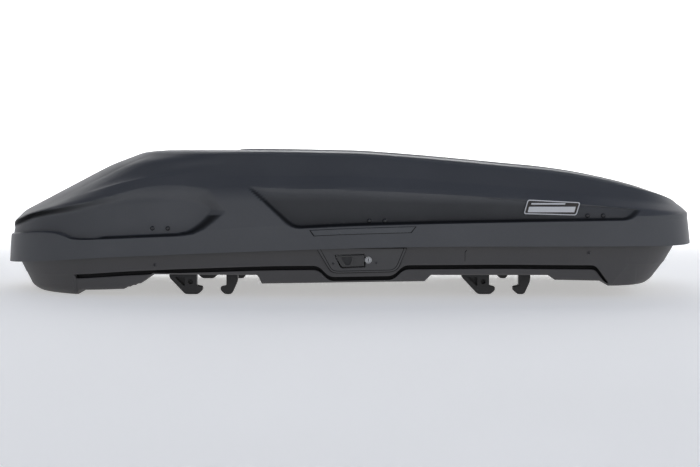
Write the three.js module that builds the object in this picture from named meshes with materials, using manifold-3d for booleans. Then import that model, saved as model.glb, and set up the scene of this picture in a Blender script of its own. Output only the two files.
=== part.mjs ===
// A roof cargo box on four crossbar clamps. Millimetres, +Z up, nose towards -X.
// The latch side faces -Y and the hinge side faces +Y.

import * as THREE from 'three';
import { mergeVertices } from 'three/addons/utils/BufferGeometryUtils.js';
import Module from 'manifold-3d';

const wasm = await Module();
wasm.setup();

// ---------------------------------------------------------------- driving dimensions

const NOSE = -1058;                 // foremost edge of the lid
const TAIL = 1032;                  // rearmost edge of the lid
const HALF_WIDTH = 420;             // lid, from the middle plane to the skirt
const WALL = 4;                     // thickness of both shells
const GAP = 0.4;                    // between pieces that rest on each other
const NOSE_ROUND = 330;             // length of the rounded nose in plan
const TAIL_ROUND = 175;             // length of the rounded tail in plan
const NOSE_POWER = 2.5;             // how square the plan corners are
const TAIL_POWER = 2.9;
const NOSE_TAPER = 0.34;            // share of the width lost towards the nose
const TAIL_TAPER = 0.09;            // share of the width lost towards the tail
const FRONT_RECESS = 22;            // depth of the front side recess in the lid
const REAR_RECESS = 32;             // depth of the rear side recess at its bottom edge
const RIM_INSET = 10;               // base rim inside the lid's outer face
const RIM_HEIGHT = 13;              // base rim above the parting line
const BASE_HALF = 398;              // base wall just under the parting line
const GROOVE_STEP = 10;             // how far the base steps in below the groove

const HINGE_Y = 430;                // hinge line
const HINGE_Z = 142;
const HINGE_XS = { front: -330, middle: 120, rear: 560 };
const BARREL = 7;

const LATCH_XS = { front: -551, middle: 78, rear: 707 };
const RIVET_ZS = { front: 201, middle: 225, rear: 239 };
const RIVET_PITCH = 45;
const HOOK_PIVOT_Z = 98;
const HOOK_DRIVE = 20;              // from a hook's pivot up to its drive pin
const STUD_RISE = 32;               // from a hook's pivot up to the striker's stud
const TONGUE_YS = [-355, -352];
const HOOK_YS = [-349, -344];
const ROD_YS = [-341, -337];

const PADDLE_PIVOT = { x: 33, y: -399 };
const LOCK = { x: 53, z: 112 };
const BEZEL_YS = [-404, -398.4];

const STRUT_XS = { front: -440, rear: 535 };
const STRUT_RADIUS = 300;           // from the hinge line to both strut pivots
const STRUT_BASE_ANGLE = -8;        // degrees above the level line towards the latch side
const STRUT_LID_ANGLE = 42;
const STRUT_TUBE = 222;
const STRUT_ROD = 234;

const BAR_XS = { front: -411, rear: 457 };
const CLAMP_YS = { near: -260, far: 260 };
const SEAT_Z = 57;                  // where a crossbar's top face sits
const CLAMP_TOP = 73.6;

// The origin is under the middle of the overall box, hinges included.
const SHIFT = new THREE.Vector3(13, -7.75, 0);

// ---------------------------------------------------------------- numbers and curves

const clamp01 = (value) => Math.min(1, Math.max(0, value));
const smooth = (value) => {
  const t = clamp01(value);
  return t * t * (3 - 2 * t);
};
const radians = THREE.MathUtils.degToRad;

// Straight pieces between the given points.
function broken(points) {
  return (x) => {
    if (x <= points[0][0]) return points[0][1];
    for (let i = 1; i < points.length; i += 1) {
      const [x0, z0] = points[i - 1];
      const [x1, z1] = points[i];
      if (x <= x1) return z0 + (z1 - z0) * (x - x0) / (x1 - x0);
    }
    return points[points.length - 1][1];
  };
}

// A smooth curve through the given points that never overshoots them.
function curve(points) {
  const slopes = points.slice(1).map(([x, z], i) => (z - points[i][1]) / (x - points[i][0]));
  const tangents = points.map((_, i) => {
    if (i === 0) return slopes[0];
    if (i === points.length - 1) return slopes[i - 1];
    const before = slopes[i - 1];
    const after = slopes[i];
    return before * after <= 0 ? 0 : 2 * before * after / (before + after);
  });
  return (x) => {
    if (x <= points[0][0]) return points[0][1];
    const i = points.findIndex((point) => x <= point[0]) - 1;
    if (i < 0) return points[points.length - 1][1];
    const [x0, z0] = points[i];
    const [x1, z1] = points[i + 1];
    const step = x1 - x0;
    const t = (x - x0) / step;
    const rise = tangents[i] * step;
    const fall = tangents[i + 1] * step;
    return z0 + t * (rise + t * (3 * (z1 - z0) - 2 * rise - fall + t * (rise + fall - 2 * (z1 - z0))));
  };
}

// ---------------------------------------------------------------- shape of the box

const partingZ = (x) => 152 - 57 * (Math.max(0, 350 - x) / 1400) ** 1.7
  - 10 * (Math.max(0, -700 - x) / 358) ** 1.5;
const grooveZ = (x) => 97 - 34 * (Math.max(0, -150 - x) / 640) ** 1.3;

const skirtTopZ = curve([[NOSE, 176], [-880, 178], [-780, 168], [-600, 176], [-300, 195],
  [0, 210], [300, 217], [700, 224], [TAIL, 228]]);
const recessTopZ = curve([[NOSE, 212], [-800, 252], [-560, 292], [0, 308], [300, 296],
  [700, 264], [TAIL, 240]]);
const creaseZ = curve([[-1008, 240], [-960, 250], [-900, 264], [-810, 291], [-615, 342], [-500, 352],
  [0, 350], [255, 336], [446, 320], [638, 301], [835, 280], [1004, 256]]);
const topZ = curve([[-660, 413], [-640, 418], [-612, 422.5], [-575, 425], [-500, 425.5], [-320, 425],
  [0, 420], [157, 410], [477, 381], [617, 367], [782, 336], [957, 284], [992, 266]]);
const crown = (x) => 1 + 4 * smooth((x + 330) / 60);

// The roof's raised edge fades out on the hood and at the tail.
const edgeShare = (x) => (0.2 + 0.8 * smooth((x + 652) / 160)) * (1 - 0.85 * smooth((x - 700) / 250));

// The hood swells a little above the line between the crease and the roof's edge.
const hoodShare = (x) => 0.66 + 0.02 * (1 - smooth((x + 742) / 150));
const floorZ = broken([[-804, 1.5], [-800, 14], [-662, 22], [-606, 40], [-561, 74], [-272, 74],
  [-256, 41], [216, 48], [243, 74], [562, 74], [594, 52], [728, 49], [748, 35], [880, 35]]);

// How far the bottom of each side recess sits behind the skirt.
const frontRecess = (x) => FRONT_RECESS * smooth((x + 800) / 220) * (1 - smooth((x + 455) / 50));
const rearRecess = (x) => REAR_RECESS * smooth((x + 240) / 90) * (1 - smooth((x - 790) / 60));
const grooveShare = (x) => smooth((x + 810) / 10) * (1 - smooth((x - 575) / 25));

function widthFactor(x) {
  const nose = NOSE_TAPER * Math.max(0, (-150 - x) / 890) ** 2.2;
  const tail = TAIL_TAPER * Math.max(0, (x - 560) / 446) ** 2;
  return 1 - nose - tail;
}

const endRound = (share, power) => (1 - (1 - clamp01(share)) ** power) ** (1 / power);

function halfWidth(x, ring) {
  const half = typeof ring.half === 'function' ? ring.half(x) : ring.half;
  return half * widthFactor(x) * endRound((x - ring.nose) / NOSE_ROUND, NOSE_POWER)
    * endRound((ring.tail - x) / TAIL_ROUND, TAIL_POWER);
}

// A ring is a closed plan outline at one level: nose, latch side, tail, hinge side.
function ringPoints(ring, xs) {
  const near = xs.map((x) => new THREE.Vector3(x, -halfWidth(x, ring), ring.z(x)));
  const far = near.slice(1, -1).reverse().map((point) => new THREE.Vector3(point.x, -point.y, point.z));
  return [...near, ...far];
}

// Joins rings into one closed body. The first and last ring are closed by straight strips
// that run across the box.
function skin(rings) {
  const count = rings[0].length;
  const positions = rings.flat().flatMap((point) => [point.x, point.y, point.z]);
  const indices = [];
  for (let r = 0; r + 1 < rings.length; r += 1) {
    for (let k = 0; k < count; k += 1) {
      const a = r * count + k;
      const b = r * count + (k + 1) % count;
      indices.push(a, b + count, b, a, a + count, b + count);
    }
  }
  const across = (start, turned) => {
    for (let k = 0; k < count / 2; k += 1) {
      const corners = [k, k + 1, count - k - 1, (count - k) % count].map((i) => start + i);
      const [a, b, c, d] = turned ? [...corners].reverse() : corners;
      if (a !== b && b !== c) indices.push(a, b, c);
      if (c !== d && a !== d) indices.push(a, c, d);
    }
  };
  across(0, false);
  across((rings.length - 1) * count, true);
  const geometry = new THREE.BufferGeometry();
  geometry.setAttribute('position', new THREE.Float32BufferAttribute(positions, 3));
  geometry.setIndex(indices);
  return geometry;
}

// ---------------------------------------------------------------- solids

function toSolid(geometry) {
  const bare = geometry.clone();
  bare.deleteAttribute('normal');
  bare.deleteAttribute('uv');
  const merged = mergeVertices(bare, 1e-4);
  return new wasm.Manifold(new wasm.Mesh({
    numProp: 3,
    vertProperties: new Float32Array(merged.attributes.position.array),
    triVerts: new Uint32Array(merged.index.array),
  }));
}

function toGeometry(solid) {
  const mesh = solid.getMesh();
  const geometry = new THREE.BufferGeometry();
  geometry.setAttribute('position', new THREE.BufferAttribute(mesh.vertProperties, 3));
  geometry.setIndex(new THREE.BufferAttribute(mesh.triVerts, 1));
  geometry.computeVertexNormals();
  return geometry;
}

const join = (first, ...others) => others.reduce((solid, other) => solid.add(other), first);
const cut = (first, ...others) => others.reduce((solid, other) => solid.subtract(other), first);

function block([x0, x1], [y0, y1], [z0, z1]) {
  const geometry = new THREE.BoxGeometry(x1 - x0, y1 - y0, z1 - z0);
  return toSolid(geometry.translate((x0 + x1) / 2, (y0 + y1) / 2, (z0 + z1) / 2));
}

// A round bar along one axis, given by its two ends.
function bar(from, to, radius, sides = 16) {
  const start = new THREE.Vector3(...from);
  const end = new THREE.Vector3(...to);
  const way = end.clone().sub(start);
  const geometry = new THREE.CylinderGeometry(radius, radius, way.length(), sides);
  const turn = new THREE.Quaternion().setFromUnitVectors(new THREE.Vector3(0, 1, 0), way.clone().normalize());
  const middle = start.add(end).multiplyScalar(0.5);
  return toSolid(geometry.applyQuaternion(turn).translate(middle.x, middle.y, middle.z));
}

const PLANES = {
  x: new THREE.Matrix4().makeBasis(new THREE.Vector3(0, 1, 0), new THREE.Vector3(0, 0, 1), new THREE.Vector3(1, 0, 0)),
  y: new THREE.Matrix4().makeBasis(new THREE.Vector3(1, 0, 0), new THREE.Vector3(0, 0, 1), new THREE.Vector3(0, -1, 0)),
  z: new THREE.Matrix4(),
};

// A flat outline pushed along an axis. The outline is in YZ, XZ or XY.
function prism(axis, outline, [low, high]) {
  const shape = outline instanceof THREE.Shape
    ? outline
    : new THREE.Shape(outline.map(([a, b]) => new THREE.Vector2(a, b)));
  const geometry = new THREE.ExtrudeGeometry(shape, {
    depth: high - low,
    bevelEnabled: false,
    curveSegments: 6,
  });
  geometry.translate(0, 0, axis === 'y' ? -high : low);
  return toSolid(geometry.applyMatrix4(PLANES[axis]));
}

// A screw or rivet along +Y: a domed head outside the wall and a shank through it.
function fastener(x, faceY, z, headRadius, headHeight, shankRadius, shankLength) {
  const profile = [
    [0, -shankLength], [shankRadius, -shankLength], [shankRadius, 0], [headRadius, 0],
    [headRadius * 0.75, headHeight * 0.85], [0, headHeight],
  ].map(([r, h]) => new THREE.Vector2(r, h));
  return toSolid(new THREE.LatheGeometry(profile, 10).rotateX(Math.PI).translate(x, faceY, z));
}

// ---------------------------------------------------------------- materials and nodes

const plastic = (color, roughness) => new THREE.MeshStandardMaterial({ color, roughness, metalness: 0 });
const metal = (color, roughness) => new THREE.MeshStandardMaterial({ color, roughness, metalness: 1 });

const MATERIALS = {
  lidPlastic: plastic('#40444b', 0.55),
  basePlastic: plastic('#37383b', 0.6),
  trimPlastic: plastic('#2b2c2e', 0.5),
  badge: plastic('#c9ccd0', 0.35),
  chrome: metal('#d9dbde', 0.15),
  steel: metal('#8d9196', 0.4),
  strut: metal('#1d1e20', 0.35),
  aluminium: metal('#b5b8bc', 0.45),
};

const box = new THREE.Group();
box.position.copy(SHIFT);

function node(name, solid, material) {
  const mesh = new THREE.Mesh(toGeometry(solid), material);
  mesh.name = name;
  box.add(mesh);
}

// ---------------------------------------------------------------- lid

const spread = (from, to, step) => {
  const count = Math.max(1, Math.round((to - from) / step));
  return Array.from({ length: count }, (_, i) => from + (to - from) * i / count);
};
const NOSE_STEPS = [0, 3, 12, 28, 52, 85, 125, 175];
const TAIL_STEPS = [118, 84, 56, 34, 16, 5, 0];

const lidShares = [
  ...NOSE_STEPS.map((step) => NOSE + step),
  ...[-815, -770, -700, -630, -560, -500, -450, -400, -330, -240, -190, -140],
  ...spread(-80, 820, 100), 820,
  ...TAIL_STEPS.map((step) => TAIL - step),
].map((x) => (x - NOSE) / (TAIL - NOSE));

const roofEdgeZ = (x) => topZ(x) - 9 * edgeShare(x);

const LID_RINGS = [
  { nose: NOSE, tail: TAIL, half: HALF_WIDTH, z: partingZ },
  { nose: NOSE + 6, tail: TAIL - 8, half: HALF_WIDTH - 4, z: skirtTopZ },
  { nose: NOSE + 7, tail: TAIL - 8.5, half: (x) => HALF_WIDTH - 4 - frontRecess(x) - rearRecess(x), z: (x) => skirtTopZ(x) + 4 },
  { nose: NOSE + 14, tail: TAIL - 11, half: (x) => 400 - 0.6 * frontRecess(x), z: recessTopZ },
  { nose: -1010, tail: 1012, half: 352, z: creaseZ },
  { nose: -742, tail: 1004, half: 318, z: (x) => creaseZ(x) + hoodShare(x) * (roofEdgeZ(x) - creaseZ(x)) + 1 },
  { nose: -648, tail: 998, half: 300, z: roofEdgeZ },
  { nose: -630, tail: 988, half: 282, z: topZ },
  { nose: -560, tail: 950, half: 120, z: (x) => topZ(x) + crown(x) },
];

const lidXs = (ring) => lidShares.map((share) => ring.nose + share * (ring.tail - ring.nose));

// The same ring on the inside of the shell.
function innerRing(ring, sink) {
  return {
    nose: ring.nose + WALL,
    tail: ring.tail - WALL,
    half: (x) => (typeof ring.half === 'function' ? ring.half(x) : ring.half) - WALL,
    z: (x) => ring.z(x) - sink,
  };
}

// Distance from the middle plane to the lid's outer face at a place on its side.
function lidSide(x, z) {
  for (let i = 1; i < LID_RINGS.length; i += 1) {
    const low = LID_RINGS[i - 1];
    const high = LID_RINGS[i];
    const share = (z - low.z(x)) / (high.z(x) - low.z(x));
    if (share <= 1) return halfWidth(x, low) + share * (halfWidth(x, high) - halfWidth(x, low));
  }
  return 0;
}

function lidShell() {
  const outer = LID_RINGS.map((ring) => ringPoints(ring, lidXs(ring)));
  const sinks = LID_RINGS.map((_, i) => (i === 0 ? 0 : i < 4 ? 2 : WALL));
  const inner = LID_RINGS.map((ring, i) => innerRing(ring, sinks[i])).map((ring) => ringPoints(ring, lidXs(ring)));
  const shell = toSolid(skin([...outer.reverse(), ...inner]));
  const holes = Object.entries(LATCH_XS).flatMap(([place, x]) => rivetXs(x).map((rivetX) => {
    const z = RIVET_ZS[place];
    const side = lidSide(rivetX, z);
    return bar([rivetX, -side - 8, z], [rivetX, -side + 12, z], 2.9, 12);
  }));
  return cut(shell, ...holes);
}

const rivetXs = (x) => [x - RIVET_PITCH / 2, x + RIVET_PITCH / 2];

// The striker hangs inside the lid wall. Its stud is what a hook holds down.
function striker(place) {
  const x = LATCH_XS[place];
  const z = RIVET_ZS[place];
  const wall = Math.min(...[x - 34, x + 34].flatMap((endX) => (
    [z - 14, skirtTopZ(endX) + 4, z + 14].map((level) => lidSide(endX, level)))));
  const face = -wall + WALL + 1.5;
  const plate = block([x - 34, x + 34], [face, face + 2.5], [z - 14, z + 14]);
  const shelfZ = z - 14;
  const shelf = block([x - 14, x + 14], [face, TONGUE_YS[1]], [shelfZ, shelfZ + 2.5]);
  const studZ = HOOK_PIVOT_Z + STUD_RISE;
  const tongue = block([x - 14, x + 14], TONGUE_YS, [studZ - 7, shelfZ + 2.5]);
  const stud = bar([x, TONGUE_YS[0] + 1, studZ], [x, HOOK_YS[1] + 0.8, studZ], 4, 12);
  const holes = rivetXs(x).map((rivetX) => bar([rivetX, face - 5, z], [rivetX, face + 6, z], 2.9, 12));
  return cut(join(plate, shelf, tongue, stud), ...holes);
}

function rivet(x, z) {
  const side = Math.max(lidSide(x - 6, z), lidSide(x + 6, z), lidSide(x, z - 6), lidSide(x, z + 6));
  return fastener(x, -side - 1.4, z, 6.5, 3.4, 2.5, 13);
}

// A thin bar on the skirt under the rear recess.
function gripTrim() {
  const top = (x) => skirtTopZ(x) - 6;
  const outline = [[-113, top(-113)], [187, top(187)], [174, top(187) - 14], [-102, top(-113) - 15]];
  return prism('y', outline, [-421.5, -418.6]);
}

// A plain plate with slanted ends on the floor of the rear recess.
const BADGE = { x0: 500, x1: 664, z0: 240, z1: 286, slant: 10, thickness: 2 };

function badgePlate() {
  const { x0, x1, z0, z1, slant, thickness } = BADGE;
  const outline = [[x0, z0 + 4], [x1 - slant, z0], [x1, z1 - 6], [x0 + slant, z1]];
  const low = Math.max(lidSide(x0, z0), lidSide(x1, z0));
  const slopes = [x0, x1].flatMap((x) => [10, 20, 30].map((rise) => (lidSide(x, z0 + rise) - low) / rise));
  const lean = -Math.atan(Math.max(...slopes));
  const plate = prism('y', outline.map(([x, z]) => [x, z - z0]), [-thickness, 0]);
  const geometry = toGeometry(plate);
  geometry.rotateX(-lean).translate(0, -low - 1.2, z0);
  return toSolid(geometry);
}

// ---------------------------------------------------------------- base

const BASE_NOSE = NOSE + RIM_INSET;
const BASE_TAIL = TAIL - RIM_INSET - 1;
const NOSE_BLEND = -815;
const TAIL_BLEND = 830;

const baseStations = [
  ...NOSE_STEPS.map((step) => BASE_NOSE + step),
  ...[NOSE_BLEND, -804, -800, -722, -662, -634, -606, -561, -490, -420, -340, -272, -256],
  ...spread(-160, 216, 94), 216, 243, 330, 400, 480, 562, 594, 650, 728, 748, TAIL_BLEND,
  ...TAIL_STEPS.map((step) => BASE_TAIL - step),
];

// Stations between the two blends keep their place; the ends follow the ring.
const baseXs = (ring) => baseStations.map((x) => {
  if (x < NOSE_BLEND) {
    return NOSE_BLEND + (x - NOSE_BLEND) * (NOSE_BLEND - ring.nose) / (NOSE_BLEND - BASE_NOSE);
  }
  if (x > TAIL_BLEND) {
    return TAIL_BLEND + (x - TAIL_BLEND) * (ring.tail - TAIL_BLEND) / (BASE_TAIL - TAIL_BLEND);
  }
  return x;
});

const atEnds = (x) => (x < NOSE_BLEND || x > TAIL_BLEND ? 12 : 2);
const stepped = (half) => (x) => half - GROOVE_STEP * grooveShare(x);
const tierZ = (x) => Math.max(grooveZ(x) - 5, floorZ(x) + atEnds(x) + 1.5);

const BASE_OUTER = [
  { nose: BASE_NOSE, tail: BASE_TAIL, half: HALF_WIDTH - RIM_INSET, z: (x) => partingZ(x) + RIM_HEIGHT },
  { nose: BASE_NOSE, tail: BASE_TAIL, half: HALF_WIDTH - RIM_INSET, z: (x) => partingZ(x) + 2.5 },
  { nose: -1024, tail: 990, half: BASE_HALF, z: (x) => partingZ(x) + 2.5 },
  { nose: -1010, tail: 962, half: BASE_HALF - 2, z: grooveZ },
  { nose: -1006, tail: 956, half: stepped(BASE_HALF - 3), z: tierZ },
  { nose: -992, tail: 926, half: stepped(BASE_HALF - 6), z: (x) => floorZ(x) + atEnds(x) },
  { nose: -970, tail: 906, half: stepped(BASE_HALF - 10), z: floorZ },
];

const BASE_INNER = [
  { nose: BASE_NOSE + WALL, tail: BASE_TAIL - WALL, half: HALF_WIDTH - RIM_INSET - WALL, z: (x) => partingZ(x) + RIM_HEIGHT },
  { nose: BASE_NOSE + WALL, tail: BASE_TAIL - WALL, half: HALF_WIDTH - RIM_INSET - WALL, z: (x) => partingZ(x) + 6.5 },
  { nose: -1019, tail: 985, half: BASE_HALF - 4.5, z: (x) => partingZ(x) + 6.5 },
  { nose: -1002, tail: 952, half: stepped(BASE_HALF - 7), z: (x) => Math.max(grooveZ(x) + 5, floorZ(x) + 18) },
  { nose: -966, tail: 900, half: stepped(BASE_HALF - 12), z: (x) => floorZ(x) + WALL },
];

// The highest point of the inside floor under a length of the box.
function floorTop(x0, x1) {
  const samples = Array.from({ length: 9 }, (_, i) => x0 + (x1 - x0) * i / 8);
  return Math.max(...samples.map(floorZ)) + WALL + GAP;
}

function baseSide(x, z) {
  const top = BASE_OUTER[2];
  const low = BASE_OUTER[3];
  const share = (top.z(x) - z) / (top.z(x) - low.z(x));
  return halfWidth(x, top) + share * (halfWidth(x, low) - halfWidth(x, top));
}

const clampPlaces = Object.entries(BAR_XS).flatMap(([end, x]) => Object.entries(CLAMP_YS)
  .map(([side, y]) => ({ name: `${end}_${side}`, x, y })));

const SIDE_SCREWS = { front: { x: -566, z: 94 }, rear: { x: 689, z: 131 } };

function baseShell() {
  const outer = BASE_OUTER.map((ring) => ringPoints(ring, baseXs(ring)));
  const inner = BASE_INNER.map((ring) => ringPoints(ring, baseXs(ring)));
  const shell = toSolid(skin([...inner.reverse(), ...outer]));
  const spindleHoles = clampPlaces.map(({ x, y }) => bar([x, y, 60], [x, y, 90], 6.5, 16));
  const latchWindow = block([-52, 70], [-410, -376], [88, 130]);
  const screwHoles = Object.values(SIDE_SCREWS).map(({ x, z }) => {
    const side = baseSide(x, z);
    return bar([x, -side - 6, z], [x, -side + 20, z], 2.4, 12);
  });
  return cut(shell, ...spindleHoles, latchWindow, ...screwHoles);
}

function floorRail(y) {
  const z = 74 + WALL + GAP;
  const rail = prism('x', [[-22, 0], [22, 0], [22, 6], [17, 6], [17, 3], [-17, 3], [-17, 6], [-22, 6]]
    .map(([across, up]) => [y + across, z + up]), [-550, 550]);
  return cut(rail, ...Object.values(BAR_XS).map((x) => bar([x, y, z - 2], [x, y, z + 9], 6.5, 16)));
}

// ---------------------------------------------------------------- latch

const BEZEL_OUTLINE = [[-92, 144], [-74, 128], [-58, 84], [-46, 76], [128, 76], [138, 84],
  [146, 128], [162, 144]];
const PADDLE_OUTLINE = [[-43, 124], [40, 127], [41, 93], [-26, 91]];
const PADDLE_WINDOW = [[-45.5, 126], [44.5, 129], [44.5, 91], [-27.5, 88.5]];
const BEZEL_SCREWS = { front: { x: -48, z: 101 }, rear: { x: 76, z: 103 } };

function latchBezel() {
  const plate = prism('y', BEZEL_OUTLINE, BEZEL_YS);
  const window = prism('y', PADDLE_WINDOW, [-410, -390]);
  const lockHole = bar([LOCK.x, -410, LOCK.z], [LOCK.x, -390, LOCK.z], 8.5, 24);
  const screwHoles = Object.values(BEZEL_SCREWS).map(({ x, z }) => bar([x, -410, z], [x, -390, z], 2.4, 12));
  return cut(plate, window, lockHole, ...screwHoles);
}

// The paddle turns about an upright line near its rear end. Its short arm pushes the rod.
function paddleHandle() {
  const plate = prism('y', PADDLE_OUTLINE, [-404, -397]);
  const scoop = prism('y', [[-26, 120], [4, 120.5], [8, 116], [2, 99], [-14, 98]], [-406, -399.5]);
  const arm = block([PADDLE_PIVOT.x - 3, PADDLE_PIVOT.x + 3], [-398, -377], [104, 116]);
  return join(cut(plate, scoop), arm);
}

function lockRing() {
  const profile = [[8.8, 0], [10.4, 0], [10.4, 0.9], [9.8, 1.5], [8.8, 1.5], [8.8, 0]]
    .map(([r, h]) => new THREE.Vector2(r, h));
  const ring = new THREE.LatheGeometry(profile, 24);
  return toSolid(ring.rotateX(Math.PI).translate(LOCK.x, BEZEL_YS[0] - GAP, LOCK.z));
}

function lockCylinder() {
  const face = bar([LOCK.x, -405.2, LOCK.z], [LOCK.x, -397, LOCK.z], 8, 24);
  const barrel = bar([LOCK.x, -397.5, LOCK.z], [LOCK.x, -372, LOCK.z], 6, 16);
  const cam = block([LOCK.x - 4, LOCK.x + 15], [-372.5, -369.5], [LOCK.z - 4, LOCK.z + 4]);
  const keyway = block([LOCK.x - 0.9, LOCK.x + 0.9], [-407, -400], [LOCK.z - 4.5, LOCK.z + 4.5]);
  return cut(join(face, barrel, cam), keyway);
}

// One flat rod joins the paddle to the three hooks.
function lockRod() {
  const strip = block([-578, 734], ROD_YS, [106, 124]);
  const slots = Object.values(LATCH_XS).map((x) => block([x - 3, x + 3], [ROD_YS[0] - 2, ROD_YS[1] + 2], [109, 121.5]));
  const shelf = block([24, 43], [-372, ROD_YS[0] + 1], [106, 116]);
  const tabs = [[24, 28], [39, 43]].map((xs) => block(xs, [-380, -371], [106, 116]));
  return join(cut(strip, ...slots), shelf, ...tabs);
}

// A hook turns on its housing's pin and reaches over the striker's stud.
function latchHook(place) {
  const x = LATCH_XS[place];
  const outline = new THREE.Shape();
  outline.absarc(0, 0, 8, 0, -Math.PI, true);
  [[-16, 6], [-16, 42], [6, 42], [6, 37.5], [-8.5, 37.5], [-8.5, 24], [4, 24], [7, 12]]
    .forEach(([a, b]) => outline.lineTo(a, b));
  const hole = new THREE.Path();
  hole.absarc(0, 0, 3.3, 0, 2 * Math.PI, false);
  outline.holes.push(hole);
  const plate = toGeometry(prism('y', outline, HOOK_YS)).translate(x, 0, HOOK_PIVOT_Z);
  const driveZ = HOOK_PIVOT_Z + HOOK_DRIVE;
  return join(toSolid(plate), bar([x, HOOK_YS[1] - 1, driveZ], [x, ROD_YS[1] + 1, driveZ], 1.9, 10));
}

function hookHousing(place) {
  const x = LATCH_XS[place];
  const floor = floorTop(x - 24, x + 24);
  const upright = block([x - 20, x + 20], [ROD_YS[0] - 1.5, ROD_YS[1] + 1], [floor, HOOK_PIVOT_Z + 5.5]);
  const foot = block([x - 24, x + 24], [ROD_YS[0], ROD_YS[1] + 28], [floor, floor + 3]);
  const pin = bar([x, ROD_YS[0], HOOK_PIVOT_Z], [x, HOOK_YS[0] - 1.5, HOOK_PIVOT_Z], 2.8, 12);
  return join(upright, foot, pin);
}

// ---------------------------------------------------------------- hinges

const tube = (x0, x1) => cut(
  bar([x0, HINGE_Y, HINGE_Z], [x1, HINGE_Y, HINGE_Z], BARREL, 16),
  bar([x0 - 1, HINGE_Y, HINGE_Z], [x1 + 1, HINGE_Y, HINGE_Z], 3.1, 12),
);

function hingeBaseLeaf(x) {
  const edge = Math.min(partingZ(x - 32), partingZ(x + 32)) - 2;
  const face = Math.max(baseSide(x - 32, edge - 6), baseSide(x + 32, edge - 6), baseSide(x, edge - 6)) + 1.2;
  const plate = block([x - 32, x + 32], [face, face + 4], [edge - 34, edge - 1]);
  const armTop = Math.min(edge - 1, HINGE_Z - 2);
  const arm = block([x - 11.5, x + 11.5], [face, HINGE_Y + 6], [armTop - 8, armTop]);
  const upright = block([x - 11.5, x + 11.5], [HINGE_Y - 6, HINGE_Y + 6], [armTop - 8, HINGE_Z]);
  const bore = bar([x - 13, HINGE_Y, HINGE_Z], [x + 13, HINGE_Y, HINGE_Z], 3.1, 12);
  return join(plate, cut(join(arm, upright, tube(x - 11.5, x + 11.5)), bore));
}

function hingeLidLeaf(x) {
  const side = Math.max(lidSide(x - 30, 152), lidSide(x + 30, 152), lidSide(x, 152)) + 0.8;
  const plate = block([x - 30, x + 30], [side, side + 3.5], [HINGE_Z + BARREL + 1, HINGE_Z + 50]);
  const bore = bar([x - 32, HINGE_Y, HINGE_Z], [x + 32, HINGE_Y, HINGE_Z], 3.1, 12);
  const knuckles = [[x - 30, x - 12.5], [x + 12.5, x + 30]].map(([x0, x1]) => {
    const link = block([x0, x1], [side, HINGE_Y], [HINGE_Z + 2, HINGE_Z + BARREL + 3]);
    return cut(join(link, tube(x0, x1)), bore);
  });
  return join(plate, ...knuckles);
}

const hingePin = (x) => bar([x - 31, HINGE_Y, HINGE_Z], [x + 31, HINGE_Y, HINGE_Z], 2.7, 12);

// ---------------------------------------------------------------- gas struts

// A point on a circle about the hinge line, seen along X.
function strutPivot(angle) {
  return {
    y: HINGE_Y - STRUT_RADIUS * Math.cos(radians(angle)),
    z: HINGE_Z + STRUT_RADIUS * Math.sin(radians(angle)),
  };
}

const strutLow = strutPivot(STRUT_BASE_ANGLE);
const strutHigh = strutPivot(STRUT_LID_ANGLE);
const strutSpan = Math.hypot(strutHigh.y - strutLow.y, strutHigh.z - strutLow.z);

// A place along the strut, measured from its base pivot.
function alongStrut(x, distance) {
  const share = distance / strutSpan;
  return [x, strutLow.y + share * (strutHigh.y - strutLow.y), strutLow.z + share * (strutHigh.z - strutLow.z)];
}

const eye = (x, centre, radius, hole) => cut(
  bar([x - 4.5, centre[1], centre[2]], [x + 4.5, centre[1], centre[2]], radius, 20),
  bar([x - 6, centre[1], centre[2]], [x + 6, centre[1], centre[2]], hole, 16),
);

function strutTube(x) {
  const body = bar(alongStrut(x, 13), alongStrut(x, STRUT_TUBE), 9, 16);
  const bore = bar(alongStrut(x, 16.5), alongStrut(x, STRUT_TUBE + 5), 5.2, 16);
  const neck = cut(bar(alongStrut(x, 6), alongStrut(x, 14), 5, 12), bar([x - 8, strutLow.y, strutLow.z],
    [x + 8, strutLow.y, strutLow.z], 4.6, 16));
  return join(cut(body, bore), neck, eye(x, alongStrut(x, 0), 9, 4.6));
}

// The rod's end eye is wide: it stays round its stud while the lid swings.
function strutRod(x) {
  const shaft = bar(alongStrut(x, strutSpan - STRUT_ROD), alongStrut(x, strutSpan - 10), 4, 12);
  return join(shaft, eye(x, alongStrut(x, strutSpan), 12.5, 9));
}

function strutBaseBracket(x) {
  const floor = floorTop(x - 20, x + 20);
  const foot = block([x - 15, x + 20], [strutLow.y - 20, strutLow.y + 20], [floor, floor + 3]);
  const upright = prism('x', [[strutLow.y - 18, floor], [strutLow.y + 18, floor], [strutLow.y + 8, strutLow.z + 8],
    [strutLow.y - 8, strutLow.z + 8]], [x + 10.5, x + 14]);
  const stud = bar([x - 6, strutLow.y, strutLow.z], [x + 12, strutLow.y, strutLow.z], 4, 12);
  return join(foot, upright, stud);
}

function strutLidBracket(x) {
  const roof = Math.min(topZ(x - 22), topZ(x + 22)) - WALL - 1.5;
  const head = block([x - 20, x + 20], [strutHigh.y - 22, strutHigh.y + 14], [roof - 3, roof]);
  const hanger = prism('x', [[strutHigh.y - 20, roof], [strutHigh.y + 12, roof], [strutHigh.y + 8, strutHigh.z - 8],
    [strutHigh.y - 8, strutHigh.z - 8]], [x + 10.5, x + 14]);
  const stud = bar([x - 6, strutHigh.y, strutHigh.z], [x + 12, strutHigh.y, strutHigh.z], 4, 12);
  return join(head, hanger, stud);
}

// ---------------------------------------------------------------- clamps

const JAW_HALF = 16;                // half the jaw's width along the crossbar
const JAW_REACH = 44;               // from the crossbar's middle to a closed jaw

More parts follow.
